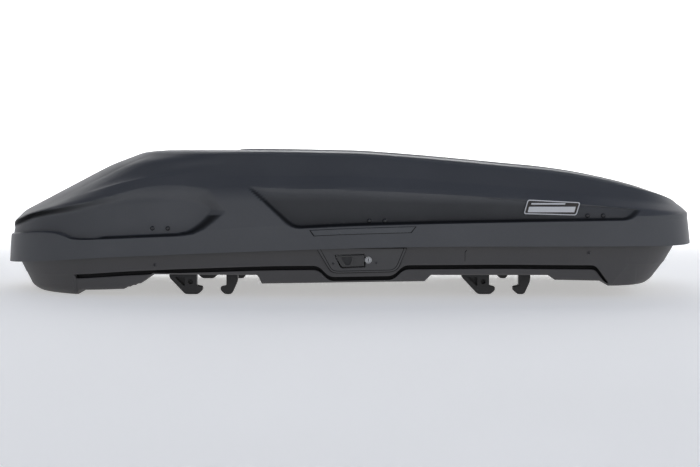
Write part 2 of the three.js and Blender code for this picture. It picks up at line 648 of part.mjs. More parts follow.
// The fixed jaw is one piece with the plate. Its lip ends short of the seat.
function clampPlate({ x, y }) {
  const ys = [y - 20, y + 20];
  const plate = block([x - 118, x + 78], ys, [61, CLAMP_TOP]);
  const seat = block([x - 20, x + 20], [y - 18, y + 18], [SEAT_Z, 62]);
  const jaw = prism('y', [[JAW_REACH, 62], [JAW_REACH, 26], [27, 22], [27, 12], [40, 0], [60, 0], [78, 40], [78, 62]]
    .map(([along, up]) => [x + along, up]), [y - JAW_HALF, y + JAW_HALF]);
  const spindleHole = bar([x, y, 63], [x, y, CLAMP_TOP + 2], 6, 16);
  return cut(join(plate, seat, jaw), spindleHole);
}

// The moving jaw slopes back to the crossbar and is lightened by two holes.
function clampJaw({ x, y }) {
  const outline = new THREE.Shape([[-125, 60.6], [-125, 50], [-78, 0], [-40, 0], [-27, 12], [-27, 22], [-JAW_REACH, 26],
    [-JAW_REACH, 60.6]].map(([along, up]) => new THREE.Vector2(along, up)));
  const round = new THREE.Path();
  round.absarc(-62, 38, 7, 0, 2 * Math.PI, false);
  const corner = new THREE.Path([[-108, 51], [-80, 51], [-80, 24]].map(([along, up]) => new THREE.Vector2(along, up)));
  outline.holes.push(round, corner);
  return toSolid(toGeometry(prism('y', outline, [y - JAW_HALF, y + JAW_HALF])).translate(x, 0, 0));
}

function clampKnob({ x, y }) {
  const lobes = Array.from({ length: 30 }, (_, i) => {
    const angle = i / 30 * 2 * Math.PI;
    const radius = 29 + 4 * Math.cos(5 * angle);
    return [x + radius * Math.cos(angle), y + radius * Math.sin(angle)];
  });
  const grip = prism('z', lobes, [92, 118]);
  const cap = bar([x, y, 117], [x, y, 124], 18, 16);
  const collar = bar([x, y, 86], [x, y, 93], 12, 12);
  const spindle = bar([x, y, 64], [x, y, 87], 5.2, 12);
  return join(grip, cap, collar, spindle);
}

// ---------------------------------------------------------------- assembly

node('base_shell', baseShell(), MATERIALS.basePlastic);
node('floor_rail_near', floorRail(CLAMP_YS.near), MATERIALS.aluminium);
node('floor_rail_far', floorRail(CLAMP_YS.far), MATERIALS.aluminium);
node('lid_shell', lidShell(), MATERIALS.lidPlastic);
node('grip_trim', gripTrim(), MATERIALS.trimPlastic);
node('badge_plate', badgePlate(), MATERIALS.badge);

node('latch_bezel', latchBezel(), MATERIALS.trimPlastic);
node('paddle_handle', paddleHandle(), MATERIALS.trimPlastic);
node('lock_ring', lockRing(), MATERIALS.chrome);
node('lock_cylinder', lockCylinder(), MATERIALS.chrome);
node('lock_rod', lockRod(), MATERIALS.steel);
for (const [place, { x, z }] of Object.entries(BEZEL_SCREWS)) {
  node(`bezel_screw_${place}`, fastener(x, BEZEL_YS[0] - GAP, z, 3.6, 1.8, 2, 8), MATERIALS.steel);
}
for (const [place, { x, z }] of Object.entries(SIDE_SCREWS)) {
  node(`side_screw_${place}`, fastener(x, -baseSide(x, z) - 0.8, z, 4.5, 2.2, 2, 12), MATERIALS.steel);
}

for (const [place, x] of Object.entries(LATCH_XS)) {
  node(`latch_hook_${place}`, latchHook(place), MATERIALS.steel);
  node(`hook_housing_${place}`, hookHousing(place), MATERIALS.trimPlastic);
  node(`striker_${place}`, striker(place), MATERIALS.steel);
  rivetXs(x).forEach((rivetX, i) => {
    node(`rivet_${place}_${'ab'[i]}`, rivet(rivetX, RIVET_ZS[place]), MATERIALS.trimPlastic);
  });
}

for (const [place, x] of Object.entries(HINGE_XS)) {
  node(`hinge_base_leaf_${place}`, hingeBaseLeaf(x), MATERIALS.steel);
  node(`hinge_lid_leaf_${place}`, hingeLidLeaf(x), MATERIALS.steel);
  node(`hinge_pin_${place}`, hingePin(x), MATERIALS.steel);
}

for (const [place, x] of Object.entries(STRUT_XS)) {
  node(`strut_tube_${place}`, strutTube(x), MATERIALS.strut);
  node(`strut_rod_${place}`, strutRod(x), MATERIALS.chrome);
  node(`strut_base_bracket_${place}`, strutBaseBracket(x), MATERIALS.steel);
  node(`strut_lid_bracket_${place}`, strutLidBracket(x), MATERIALS.steel);
}

for (const place of clampPlaces) {
  node(`clamp_plate_${place.name}`, clampPlate(place), MATERIALS.trimPlastic);
  node(`clamp_jaw_${place.name}`, clampJaw(place), MATERIALS.trimPlastic);
  node(`clamp_knob_${place.name}`, clampKnob(place), MATERIALS.basePlastic);
}

export default box;
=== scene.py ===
import math

import bmesh
import bpy
import numpy as np
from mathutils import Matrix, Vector

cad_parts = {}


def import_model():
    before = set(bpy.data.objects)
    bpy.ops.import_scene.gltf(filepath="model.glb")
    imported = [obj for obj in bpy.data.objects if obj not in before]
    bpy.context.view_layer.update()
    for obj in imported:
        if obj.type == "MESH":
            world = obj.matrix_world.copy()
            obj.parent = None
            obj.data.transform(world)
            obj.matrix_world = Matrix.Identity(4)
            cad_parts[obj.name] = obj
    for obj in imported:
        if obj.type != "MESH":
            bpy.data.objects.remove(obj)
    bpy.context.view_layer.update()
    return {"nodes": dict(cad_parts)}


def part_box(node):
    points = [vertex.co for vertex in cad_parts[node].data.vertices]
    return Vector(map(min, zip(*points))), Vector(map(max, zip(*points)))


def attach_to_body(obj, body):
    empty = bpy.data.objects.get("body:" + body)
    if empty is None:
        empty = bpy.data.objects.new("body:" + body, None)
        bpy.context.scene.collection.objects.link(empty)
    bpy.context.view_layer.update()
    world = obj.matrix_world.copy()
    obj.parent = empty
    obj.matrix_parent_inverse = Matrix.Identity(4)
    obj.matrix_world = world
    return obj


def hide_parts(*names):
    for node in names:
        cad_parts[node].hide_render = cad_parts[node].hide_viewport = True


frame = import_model()
scene = bpy.context.scene

# ---------------------------------------------------------------- design frame
# Shapes are worked out in millimetres, nose towards -X, latch side towards -Y, and
# Z up from the lowest point of the clamps. The lid's CAD box ties that to the frame.

NOSE, TAIL = -1058.0, 1032.0
_low, _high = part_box("lid_shell")
SHIFT = np.array([_low.x * 1000 - NOSE, (_low.y + _high.y) * 500, 0.0])


def world(points):
    return (np.asarray(points, float) + SHIFT) / 1000


def clamp01(v):
    return np.clip(v, 0.0, 1.0)


def smooth(v):
    t = clamp01(v)
    return t * t * (3 - 2 * t)


def broken(points):
    xs, zs = zip(*points)
    return lambda x: np.interp(x, xs, zs)


def curve(points):
    """A smooth curve through the given points that never overshoots them."""
    xs = np.array([p[0] for p in points], float)
    zs = np.array([p[1] for p in points], float)
    slopes = np.diff(zs) / np.diff(xs)
    tangents = np.zeros(len(xs))
    tangents[0], tangents[-1] = slopes[0], slopes[-1]
    for i in range(1, len(xs) - 1):
        a, b = slopes[i - 1], slopes[i]
        tangents[i] = 0 if a * b <= 0 else 2 * a * b / (a + b)

    def at(x):
        x = np.clip(np.asarray(x, float), xs[0], xs[-1])
        i = np.clip(np.searchsorted(xs, x, side="left") - 1, 0, len(xs) - 2)
        step = xs[i + 1] - xs[i]
        t = (x - xs[i]) / step
        rise, fall = tangents[i] * step, tangents[i + 1] * step
        dz = zs[i + 1] - zs[i]
        return zs[i] + t * (rise + t * (3 * dz - 2 * rise - fall + t * (rise + fall - 2 * dz)))

    return at


# ---------------------------------------------------------------- shape of the box

HALF_WIDTH = 420.0
NOSE_ROUND, TAIL_ROUND = 330.0, 175.0
NOSE_POWER, TAIL_POWER = 2.5, 2.9
NOSE_TAPER, TAIL_TAPER = 0.34, 0.09


def parting_z(x):
    """The lid's lower edge drops towards the nose, and a little faster under the hood."""
    drop = 57 * (np.maximum(0, 350 - x) / 1400) ** 1.7
    return 152 - drop - 10 * (np.maximum(0, -700 - x) / 358) ** 1.5


skirt_top_z = curve([(NOSE, 166), (-1000, 176), (-900, 184.5), (-857, 182), (-812, 167), (-790, 166),
                     (-700, 169.5), (-600, 174.5), (-480, 180.5), (-300, 193), (-130, 203), (0, 209),
                     (300, 217), (700, 224), (TAIL, 228)])
shoulder_z = curve([(NOSE, 196), (-960, 235), (-804, 268), (-600, 296), (-300, 306), (0, 308), (300, 296),
                    (700, 266), (TAIL, 244)])
crease_z = curve([(-1008, 240), (-960, 250), (-900, 264), (-810, 291), (-615, 342), (-500, 352), (0, 350),
                  (255, 336), (446, 320), (638, 301), (835, 280), (1004, 256)])
top_z = curve([(-660, 413), (-640, 418), (-612, 422.5), (-575, 425), (-500, 425.5), (-320, 425), (0, 420),
               (157, 410), (477, 381), (617, 367), (782, 336), (957, 284), (992, 266)])


def crown(x):
    """The roof's raised middle field starts behind the hood."""
    return 1 + 4 * smooth((x + 345) / 18)


def edge_share(x):
    """The roof's raised edge fades out on the hood and at the tail."""
    return (0.2 + 0.8 * smooth((x + 652) / 160)) * (1 - 0.85 * smooth((x - 700) / 250))


def width_factor(x):
    nose = NOSE_TAPER * (np.maximum(0, -150 - x) / 890) ** 2.2
    tail = TAIL_TAPER * (np.maximum(0, x - 560) / 446) ** 2
    return 1 - nose - tail


def end_round(share, power):
    """A rounded end: 0 at its tip and 1 from where the sides run on."""
    return (1 - (1 - clamp01(share)) ** power) ** (1 / power)


def half_width(x, nose, tail, half):
    half = half(x) if callable(half) else half
    return (half * width_factor(x) * end_round((x - nose) / NOSE_ROUND, NOSE_POWER)
            * end_round((tail - x) / TAIL_ROUND, TAIL_POWER))


def ring(nose, tail, half, level, shares):
    """One line of the near side, from nose to tail."""
    x = nose + shares * (tail - nose)
    z = level(x) if callable(level) else np.full_like(x, level)
    return np.stack([x, -half_width(x, nose, tail, half), z], 1)


def end_steps(length, power, count):
    """Places along a rounded end, closer together near its tip."""
    angle = np.linspace(0, math.pi / 2, count + 1)
    return length * (1 - np.cos(angle) ** (2 / power))


def station_shares(nose, tail, step, nose_count, tail_count, extra=()):
    front = nose + end_steps(NOSE_ROUND, NOSE_POWER, nose_count)
    back = tail - end_steps(TAIL_ROUND, TAIL_POWER, tail_count)[::-1]
    middle = np.linspace(front[-1], back[0], int((back[0] - front[-1]) / step) + 1)[1:-1]
    xs = np.unique(np.round(np.concatenate([front, middle, back, list(extra)]), 3))
    return (xs - nose) / (tail - nose)


# ---------------------------------------------------------------- outline fields on the side

OUTLINE_STEP = 20.0


def to_segments(points, x, z):
    """Distance of each place to an open or closed line of points."""
    best = np.full(x.shape, 1e9)
    for (x0, z0), (x1, z1) in zip(points[:-1], points[1:]):
        dx, dz = x1 - x0, z1 - z0
        t = clamp01(((x - x0) * dx + (z - z0) * dz) / (dx * dx + dz * dz))
        best = np.minimum(best, np.hypot(x - x0 - t * dx, z - z0 - t * dz))
    return best


def inside(points, x, z):
    found = np.zeros(x.shape, bool)
    for (x0, z0), (x1, z1) in zip(points, points[1:] + points[:1]):
        if z0 == z1:
            continue
        crosses = ((z0 > z) != (z1 > z)) & (x < (x1 - x0) * (z - z0) / (z1 - z0) + x0)
        found ^= crosses
    return found


def rounded(points, radius, count=6, closed=True):
    """The same outline with its corners turned into arcs."""
    radii = radius if isinstance(radius, (list, tuple)) else [radius] * len(points)
    points = [np.array(p, float) for p in points]
    out = []
    for i, p in enumerate(points):
        if not closed and i in (0, len(points) - 1) or radii[i] <= 0:
            out.append(tuple(p))
            continue
        a, b = points[i - 1] - p, points[(i + 1) % len(points)] - p
        la, lb = np.linalg.norm(a), np.linalg.norm(b)
        reach = min(radii[i], 0.49 * la, 0.49 * lb)
        start, end = p + a / la * reach, p + b / lb * reach
        for k in range(count + 1):
            t = k / count
            out.append(tuple((1 - t) ** 2 * start + 2 * t * (1 - t) * p + t * t * end))
    return out


def share_between(outer, inner, x, z):
    """0 outside the outer outline, 1 inside the inner one, and the share of the way between."""
    d_out = to_segments(outer + outer[:1], x, z)
    d_in = to_segments(inner + inner[:1], x, z)
    t = d_out / np.maximum(d_out + d_in, 1e-6)
    t = np.where(inside(outer, x, z), t, 0.0)
    return np.where(inside(inner, x, z), 1.0, t)


def along(line, x0, x1, lift=0.0):
    """Points on a line, or a little above it, from x0 to x1."""
    xs = np.arange(x0, x1 + 0.1, OUTLINE_STEP)
    return [(float(x), float(line(x)) + lift) for x in xs]


# Front recess: it starts as the panel under the hood's edge and ends in a rounded tip.
FRONT_OUTER = (
    [(-1300, 120), (-1062, 198), (-1040, 207), (-960, 237), (-934, 244), (-880, 255), (-804, 268),
     (-702, 292), (-650, 308), (-613, 317), (-575, 323), (-535, 326), (-480, 325), (-428, 320), (-407, 313),
     (-389, 291), (-370, 268), (-359, 254), (-361, 247), (-389, 223), (-420, 200), (-450, 186), (-474, 182),
     (-490, 181)]
    + along(skirt_top_z, -1060, -500)[::-1] + [(-1300, 100)])
FRONT_INNER = (
    [(-1300, 118), (-1062, 180), (-1040, 189), (-960, 220), (-900, 233), (-827, 246), (-768, 259),
     (-690, 276), (-640, 287), (-600, 290.5), (-540, 289.5), (-480, 285), (-434, 275), (-413, 265),
     (-405, 256), (-409, 247), (-438, 218), (-464, 199), (-478, 193), (-490, 191.5)]
    + along(skirt_top_z, -720, -500, 9)[::-1] + along(skirt_top_z, -1060, -740, 3.5)[::-1]
    + [(-1300, 103)])

# Rear recess: a slanted edge at the front, and a floor that leans in towards its bottom.
REAR_OUTER = (
    [(-340, 362), (-295, 317), (-258, 285), (-222, 252), (-186, 219), (-170, 208.5), (-155, 203.5),
     (-140, 202.6)]
    + along(skirt_top_z, -120, 780)
    + [(796, 226.5), (810, 230), (822, 237), (851, 264), (900, 308), (900, 400), (-300, 400)])
REAR_INNER = (
    [(-329, 366), (-283, 320), (-243, 286), (-208, 254), (-176, 224.5), (-163, 215.6), (-149, 211.6),
     (-136, 210.6)]
    + along(skirt_top_z, -110, 770, 8.5)
    + [(786, 233), (798, 236), (810, 244), (840, 272), (889, 316), (889, 402), (-300, 402)])
rear_top_z = curve([(-330, 332), (-295, 327), (-230, 320), (0, 314), (192, 303), (447, 290), (640, 274),
                    (769, 263), (900, 250)])


def edge_band(share):
    """Strongest half way down a recess edge, and 0 on its rim and its floor."""
    return (4 * share * (1 - share)) ** 0.7


def front_recess(x, z, low):
    """Depth of the front recess, and painted shade: the shadow under the hood's edge and a dark line along
    the ledge.
    """
    rise = clamp01((z - low) / np.maximum(shoulder_z(x) - low, 1))
    share = share_between(FRONT_OUTER, FRONT_INNER, x, z)
    deep = 7 + 9 * smooth((x - NOSE) / 70) + 4 * smooth((x + 860) / 260) + 8 * smooth((x + 580) / 140)
    under = 4 * smooth((x + 760) / 240) * (1 - rise) ** 1.6
    # fang is painted shadow under the hood's edge; ledge is painted shade along the recess's lower edge.
    fang = smooth(share / 0.12) * smooth((1 - share) / 0.35) * (1 - smooth((x + 960) / 330)) * (rise > 0.3)
    ledge = edge_band(share) * (rise < 0.45) * smooth((x + 850) / 60)
    return share * (deep + under), fang, ledge


def rear_recess(x, z, low):
    """Depth of the rear recess, whose floor leans in, and painted shade along its ledge and low on its floor.
    """
    share = share_between(REAR_OUTER, REAR_INNER, x, z)
    up = clamp01((z - low) / np.maximum(rear_top_z(x) - low, 1))
    reach = 35 - 15 * smooth((x - 420) / 380)
    deep = 7 * smooth((1 - up) / 0.1) + (reach - 7) * (1 - up)
    # Painted shade: a dark line along the ledge and a darker lower floor, which faces slightly down.
    ledge = edge_band(share) * smooth((1 - up) / 0.15) * smooth((900 - x) / 120)
    floor = share * smooth((1 - up) / 0.35) * (1 - 0.6 * smooth((x - 300) / 500))
    return share * deep, ledge, floor


def lid_fields(x, z):
    """How far the lid's side sits behind its plain surface, and the share of its colour it keeps under the
    painted shade.
    """
    low = skirt_top_z(x)
    front, fang, front_ledge = front_recess(x, z, low)
    rear, rear_ledge, floor = rear_recess(x, z, low)
    ledge = clamp01(front_ledge + rear_ledge)
    return front + rear, (1 - 0.92 * clamp01(fang)) * (1 - 0.75 * ledge) * (1 - 0.40 * floor)


# ---------------------------------------------------------------- mesh helpers

def make_object(name, vertices, faces, material):
    mesh = bpy.data.meshes.new(name)
    mesh.from_pydata([tuple(v) for v in world(vertices)], [], faces)
    mesh.validate()
    obj = bpy.data.objects.new(name, mesh)
    scene.collection.objects.link(obj)
    mesh.materials.append(material)
    return obj


def fillet_rows(keys, reaches, straight, arc=4):
    """Lines across the section: straight pieces between key lines, with rounded corners.
    Also gives, for each key line, the row where its corner starts."""
    rows, marks = [], [0]
    start = keys[0]
    for j in range(1, len(keys)):
        corner = keys[j]
        last = j == len(keys) - 1
        if last or reaches[j] <= 0:
            end = corner
        else:
            back, ahead = start - corner, keys[j + 1] - corner
            lb = np.linalg.norm(back, axis=1, keepdims=True)
            la = np.linalg.norm(ahead, axis=1, keepdims=True)
            room = np.minimum(reaches[j], 0.48 * np.minimum(lb, la))
            end = corner + back / np.maximum(lb, 1e-6) * room
            after = corner + ahead / np.maximum(la, 1e-6) * room
        for k in range(straight[j - 1]):
            rows.append(start + (end - start) * k / straight[j - 1])
        marks.append(len(rows))
        if last:
            rows.append(end)
        elif reaches[j] > 0:
            for k in range(arc):
                t = k / arc
                rows.append((1 - t) ** 2 * end + 2 * t * (1 - t) * corner + t * t * after)
            start = after
        else:
            start = corner
    return rows, marks


def outward(row):
    """Level unit vectors that point away from the box along one line of the near side."""
    tangent = np.gradient(row[:, :2], axis=0)
    tangent /= np.maximum(np.linalg.norm(tangent, axis=1, keepdims=True), 1e-9)
    normal = np.stack([tangent[:, 1], -tangent[:, 0], np.zeros(len(row))], 1)
    normal[0] = (-1, 0, 0)
    normal[-1] = (1, 0, 0)
    return normal


def grid_faces(rows, columns, start=0, flipped=False):
    faces = []
    for r in range(rows - 1):
        a = start + r * columns
        for c in range(columns - 1):
            quad = (a + c, a + c + 1, a + columns + c + 1, a + columns + c)
            faces.append(quad[::-1] if flipped else quad)
    return faces


def both_sides(rows):
    """A grid that runs from the near rim over the middle to the far rim."""
    far = [row * np.array([1, -1, 1]) for row in rows[:-1]][::-1]
    return rows + far


def weld(obj, distance, angle, face_out=False):
    """Joins doubled points, shades the piece smooth and marks the edges that stay sharp."""
    work = bmesh.new()
    work.from_mesh(obj.data)
    bmesh.ops.remove_doubles(work, verts=work.verts, dist=distance)
    if face_out:
        bmesh.ops.recalc_face_normals(work, faces=work.faces)
    work.to_mesh(obj.data)
    work.free()
    for polygon in obj.data.polygons:
        polygon.use_smooth = True
    obj.data.set_sharp_from_angle(angle=math.radians(angle))


def set_shade(obj, shades):
    """Stores the painted shade of each vertex; vertices past the list keep their full colour."""
    layer = obj.data.attributes.new("shade", "FLOAT", "POINT")
    values = np.ones(len(obj.data.vertices))
    values[:len(shades)] = shades
    layer.data.foreach_set("value", values)


def shell_object(name, rows, inner_rows, material, flipped=False):
    """Outer and inner skins joined along both rims. Flipped where the lines run downwards."""
    outer, inner = both_sides(rows), both_sides(inner_rows)
    columns = len(rows[0])
    near_in = len(outer) * columns
    faces = grid_faces(len(outer), columns, 0, flipped)
    faces += grid_faces(len(inner), columns, near_in, not flipped)
    far_out = near_in - columns
    far_in = near_in + (len(inner) - 1) * columns
    for c in range(columns - 1):
        near = (near_in + c, near_in + c + 1, c + 1, c)
        far = (far_out + c, far_out + c + 1, far_in + c + 1, far_in + c)
        faces += [near[::-1], far[::-1]] if flipped else [near, far]
    return make_object(name, np.concatenate(outer + inner), faces, material)


def wall_reader(rows):
    """Gives the distance from the middle plane to the outer face at a place on the near side."""
    def at(x, z):
        found = sorted((np.interp(x, row[:, 0], row[:, 2]), -np.interp(x, row[:, 0], row[:, 1]))
                       for row in rows)
        return float(np.interp(z, [height for height, _ in found], [width for _, width in found]))

    return at


WELD_SHELL, SHELL_ANGLE = 2e-5, 38

# ---------------------------------------------------------------- materials

def tree(name):
    material = bpy.data.materials.new(name)
    material.use_nodes = True
    nodes, links = material.node_tree.nodes, material.node_tree.links
    return material, nodes, links, nodes["Principled BSDF"]


def add(nodes, kind, **values):
    item = nodes.new(kind)
    for key, value in values.items():
        if key in item.inputs:
            item.inputs[key].default_value = value
        else:
            setattr(item, key, value)
    return item


def ramp(nodes, stops):
    item = nodes.new("ShaderNodeValToRGB")
    ends = item.color_ramp.elements
    ends[0].position, ends[0].color = stops[0][0], (*stops[0][1], 1)
    ends[1].position, ends[1].color = stops[-1][0], (*stops[-1][1], 1)
    for position, colour in stops[1:-1]:
        ends.new(position).color = (*colour, 1)
    return item


def grey(v):
    return (v, v, v)


PLASTIC_SPECULAR = 0.28


def moulded(name, colour, roughness, grain=900.0, grain_height=0.00012, streak=0.12, shaded=False):
    """Moulded plastic: a fine leather grain, slow changes of tint and gloss, and pale specks.
    Shaded plastic also takes the painted shade stored on its piece, which darkens its colour and dims its
    specular."""
    material, nodes, links, shader = tree(name)
    place = add(nodes, "ShaderNodeTexCoord")
    slow = add(nodes, "ShaderNodeTexNoise", Scale=3.2, Detail=5.0, Roughness=0.55)
    links.new(place.outputs["Object"], slow.inputs["Vector"])
    fine = add(nodes, "ShaderNodeTexNoise", Scale=grain * 0.55, Detail=2.0, Roughness=0.5)
    links.new(place.outputs["Object"], fine.inputs["Vector"])
    cells = add(nodes, "ShaderNodeTexVoronoi", Scale=grain, feature="SMOOTH_F1", Smoothness=0.6)
    links.new(place.outputs["Object"], cells.inputs["Vector"])
    tint = ramp(nodes, [(0.25, tuple(c * (1 - streak) for c in colour)), (0.55, colour),
                        (0.85, tuple(min(1, c * (1 + streak) + 0.001) for c in colour))])
    links.new(slow.outputs["Fac"], tint.inputs["Fac"])
    specks = ramp(nodes, [(0.0, grey(0.88)), (0.5, grey(1.0)), (1.0, grey(1.12))])
    links.new(fine.outputs["Fac"], specks.inputs["Fac"])
    mix = add(nodes, "ShaderNodeMix", data_type="RGBA", blend_type="MULTIPLY")
    mix.inputs[0].default_value = 0.7
    links.new(tint.outputs["Color"], mix.inputs[6])
    links.new(specks.outputs["Color"], mix.inputs[7])
    colour_out = mix.outputs[2]
    if shaded:
        # Painted shade: the stored shade darkens the colour and dims the specular.
        shade = add(nodes, "ShaderNodeAttribute", attribute_name="shade")
        painted_shade_mix = add(nodes, "ShaderNodeMix", data_type="RGBA", blend_type="MULTIPLY")
        painted_shade_mix.inputs[0].default_value = 1.0
        links.new(colour_out, painted_shade_mix.inputs[6])
        links.new(shade.outputs["Fac"], painted_shade_mix.inputs[7])
        colour_out = painted_shade_mix.outputs[2]
        shaded_specular = add(nodes, "ShaderNodeMath", operation="MULTIPLY")
        links.new(shade.outputs["Fac"], shaded_specular.inputs[0])
        shaded_specular.inputs[1].default_value = PLASTIC_SPECULAR
        links.new(shaded_specular.outputs[0], shader.inputs["Specular IOR Level"])
    else:
        shader.inputs["Specular IOR Level"].default_value = PLASTIC_SPECULAR
    links.new(colour_out, shader.inputs["Base Color"])
    gloss = add(nodes, "ShaderNodeMapRange")
    gloss.inputs["From Min"].default_value, gloss.inputs["From Max"].default_value = 0.3, 0.7
    gloss.inputs["To Min"].default_value = roughness - 0.05
    gloss.inputs["To Max"].default_value = roughness + 0.0725
    links.new(slow.outputs["Fac"], gloss.inputs["Value"])
    links.new(gloss.outputs["Result"], shader.inputs["Roughness"])
    height = add(nodes, "ShaderNodeMath", operation="ADD")
    links.new(cells.outputs["Distance"], height.inputs[0])
    links.new(fine.outputs["Fac"], height.inputs[1])
    bump = add(nodes, "ShaderNodeBump", Strength=0.55, Distance=grain_height)
    links.new(height.outputs[0], bump.inputs["Height"])
    links.new(bump.outputs["Normal"], shader.inputs["Normal"])
    return material


def brushed(name, colour, roughness, stretch=(1, 1, 30), metallic=1.0):
    """Metal or gloss paint with fine drawn lines, small stains and gloss changes."""
    material, nodes, links, shader = tree(name)
    shader.inputs["Metallic"].default_value = metallic
    place = add(nodes, "ShaderNodeTexCoord")
    scale = add(nodes, "ShaderNodeMapping")
    scale.inputs["Scale"].default_value = stretch
    links.new(place.outputs["Object"], scale.inputs["Vector"])
    lines = add(nodes, "ShaderNodeTexNoise", Scale=140.0, Detail=4.0, Roughness=0.6)
    links.new(scale.outputs["Vector"], lines.inputs["Vector"])
    stains = add(nodes, "ShaderNodeTexNoise", Scale=38.0, Detail=4.0)
    links.new(place.outputs["Object"], stains.inputs["Vector"])
    tint = ramp(nodes, [(0.3, tuple(c * 0.85 for c in colour)), (0.7, colour)])
    links.new(stains.outputs["Fac"], tint.inputs["Fac"])
    links.new(tint.outputs["Color"], shader.inputs["Base Color"])
    gloss = add(nodes, "ShaderNodeMapRange")
    gloss.inputs["To Min"].default_value = max(0.04, roughness - 0.1)
    gloss.inputs["To Max"].default_value = roughness + 0.1
    links.new(stains.outputs["Fac"], gloss.inputs["Value"])
    links.new(gloss.outputs["Result"], shader.inputs["Roughness"])
    bump = add(nodes, "ShaderNodeBump", Strength=0.25, Distance=0.00008)
    links.new(lines.outputs["Fac"], bump.inputs["Height"])
    links.new(bump.outputs["Normal"], shader.inputs["Normal"])
    return material


LID_PLASTIC = moulded("lid_plastic", (0.098, 0.101, 0.108), 0.5, shaded=True)
BASE_PLASTIC = moulded("base_plastic", (0.083, 0.081, 0.083), 0.55)
# Near-black: painted shade in the base's groove, the keyway, the screw slots and the rim round the bezel;
# also the seam, the bezel's bead, the window frame and the grip strip's seat.
SHADE_AND_JOINT_BLACK = moulded("shade_and_joint_black", (0.009, 0.009, 0.010), 0.7)
TRIM_PLASTIC = moulded("trim_plastic", (0.034, 0.034, 0.036), 0.42, grain=1400)
BEZEL_PLASTIC = moulded("bezel_plastic", (0.084, 0.083, 0.085), 0.46, grain=1200)
GRIP_PLASTIC = moulded("grip_satin", (0.095, 0.10, 0.108), 0.28, grain=1800, grain_height=0.00005)
PADDLE_PLASTIC = moulded("paddle_plastic", (0.066, 0.065, 0.065), 0.42, grain=1400)
KNOB_PLASTIC = moulded("knob_plastic", (0.022, 0.022, 0.024), 0.5, grain=1100)
RIVET_PLASTIC = brushed("rivet_gloss", (0.03, 0.031, 0.034), 0.22, metallic=0.0)
BADGE_LIGHT = moulded("badge_light", (0.72, 0.73, 0.75), 0.3, grain=2200, grain_height=0.00002, streak=0.04)
BADGE_DARK = moulded("badge_dark", (0.05, 0.045, 0.042), 0.4, grain=1500)
CHROME = brushed("chrome", (0.80, 0.81, 0.82), 0.16)
DARK_METAL = brushed("dark_metal", (0.10, 0.10, 0.105), 0.3)
STEEL = brushed("steel", (0.42, 0.43, 0.45), 0.38)
BLACK_METAL = brushed("strut_black", (0.018, 0.018, 0.02), 0.34, metallic=0.0)
ALUMINIUM = brushed("aluminium", (0.62, 0.63, 0.65), 0.4, stretch=(30, 1, 1))


# ---------------------------------------------------------------- lid

LID_SHARES = station_shares(NOSE, TAIL, 3.2, 64, 40)


def lid_ring(nose, tail, half, level):
    return ring(nose, tail, half, level, LID_SHARES)


LID_KEYS = [
    lid_ring(NOSE, TAIL, HALF_WIDTH, parting_z),
    lid_ring(NOSE + 5, TAIL - 7, 416.5, lambda x: skirt_top_z(x) - 8),
    lid_ring(NOSE + 6, TAIL - 8, 416, skirt_top_z),
    lid_ring(NOSE + 7, TAIL - 8.5, 415, lambda x: skirt_top_z(x) + 13),
    lid_ring(NOSE + 12, TAIL - 12, 400, shoulder_z),
    lid_ring(-1010, 1012, 352, crease_z),
    lid_ring(-742, 1004, 318, lambda x: crease_z(x) + (0.66 + 0.02 * (1 - smooth((x + 742) / 150)))
             * (top_z(x) - 9 * edge_share(x) - crease_z(x)) + 1),
    lid_ring(-652, 999, 303, lambda x: top_z(x) - (8 + 3 * smooth((x + 400) / 250)) * edge_share(x)),
    lid_ring(-636, 991, 286, lambda x: top_z(x) - 1.5 * edge_share(x)),
    lid_ring(-600, 975, 240, lambda x: top_z(x) + 0.5),
    lid_ring(-560, 950, 150, lambda x: top_z(x) + crown(x) * 0.35),
    lid_ring(-555, 946, 141, lambda x: top_z(x) + crown(x)),
    lid_ring(-545, 930, 0.0001, lambda x: top_z(x) + crown(x)),
]
LID_REACH = [0, 0, 0, 0, 26, 13, 30, 9, 8, 10, 2.5, 3, 0]
LID_STRAIGHT = [8, 5, 9, 26, 16, 20, 10, 2, 6, 10, 2, 12]

CREASE_END = 6                     # the key line where the roof side starts, past the crease
LID_WALL = 4.0

lid_rows, lid_marks = fillet_rows(LID_KEYS, LID_REACH, LID_STRAIGHT, arc=8)


def pressed(rows):
    """Moves the near side inwards by the recess depth, and gives the painted shade of every place."""
    out, shades = [], []
    for row in rows:
        depth, shade = lid_fields(row[:, 0], row[:, 2])
        out.append(row - outward(row) * depth[:, None])
        shades.append(shade)
    return out, shades


# Only the lines below the roof carry recesses.
side_last = lid_marks[CREASE_END]
side_rows, side_shades = pressed(lid_rows[:side_last])
lid_rows = side_rows + lid_rows[side_last:]
lid_shades = side_shades + [np.ones(len(row)) for row in lid_rows[side_last:]]
lid_side = wall_reader(side_rows)


def inset_rows(rows, picks, wall):
    """The inner skin: the picked lines moved in by the wall thickness."""
    out = []
    stack = np.stack(rows)
    along_x = np.gradient(stack, axis=1)
    across = np.gradient(stack, axis=0)
    normal = np.cross(along_x, across)
    normal /= np.maximum(np.linalg.norm(normal, axis=2, keepdims=True), 1e-9)
    for r in picks:
        row = stack[r] - normal[r] * wall
        row[0] = stack[r][0] + np.array([wall, 0, 0])
        row[-1] = stack[r][-1] - np.array([wall, 0, 0])
        if r == len(rows) - 1:
            row[:, 1] = 0
        row[:, 1] = np.minimum(row[:, 1], 0)
        out.append(row)
    return out


inner_picks = list(range(0, len(lid_rows) - 1, 3)) + [len(lid_rows) - 1]
lid_inner = inset_rows(lid_rows, inner_picks, LID_WALL)
lid_inner[0][:, 2] = lid_rows[0][:, 2]
lid = shell_object("lid", lid_rows, lid_inner, LID_PLASTIC)
set_shade(lid, np.concatenate(lid_shades + lid_shades[:-1][::-1]))
weld(lid, WELD_SHELL, SHELL_ANGLE)
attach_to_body(lid, "lid")
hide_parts("lid_shell")

# ---------------------------------------------------------------- base

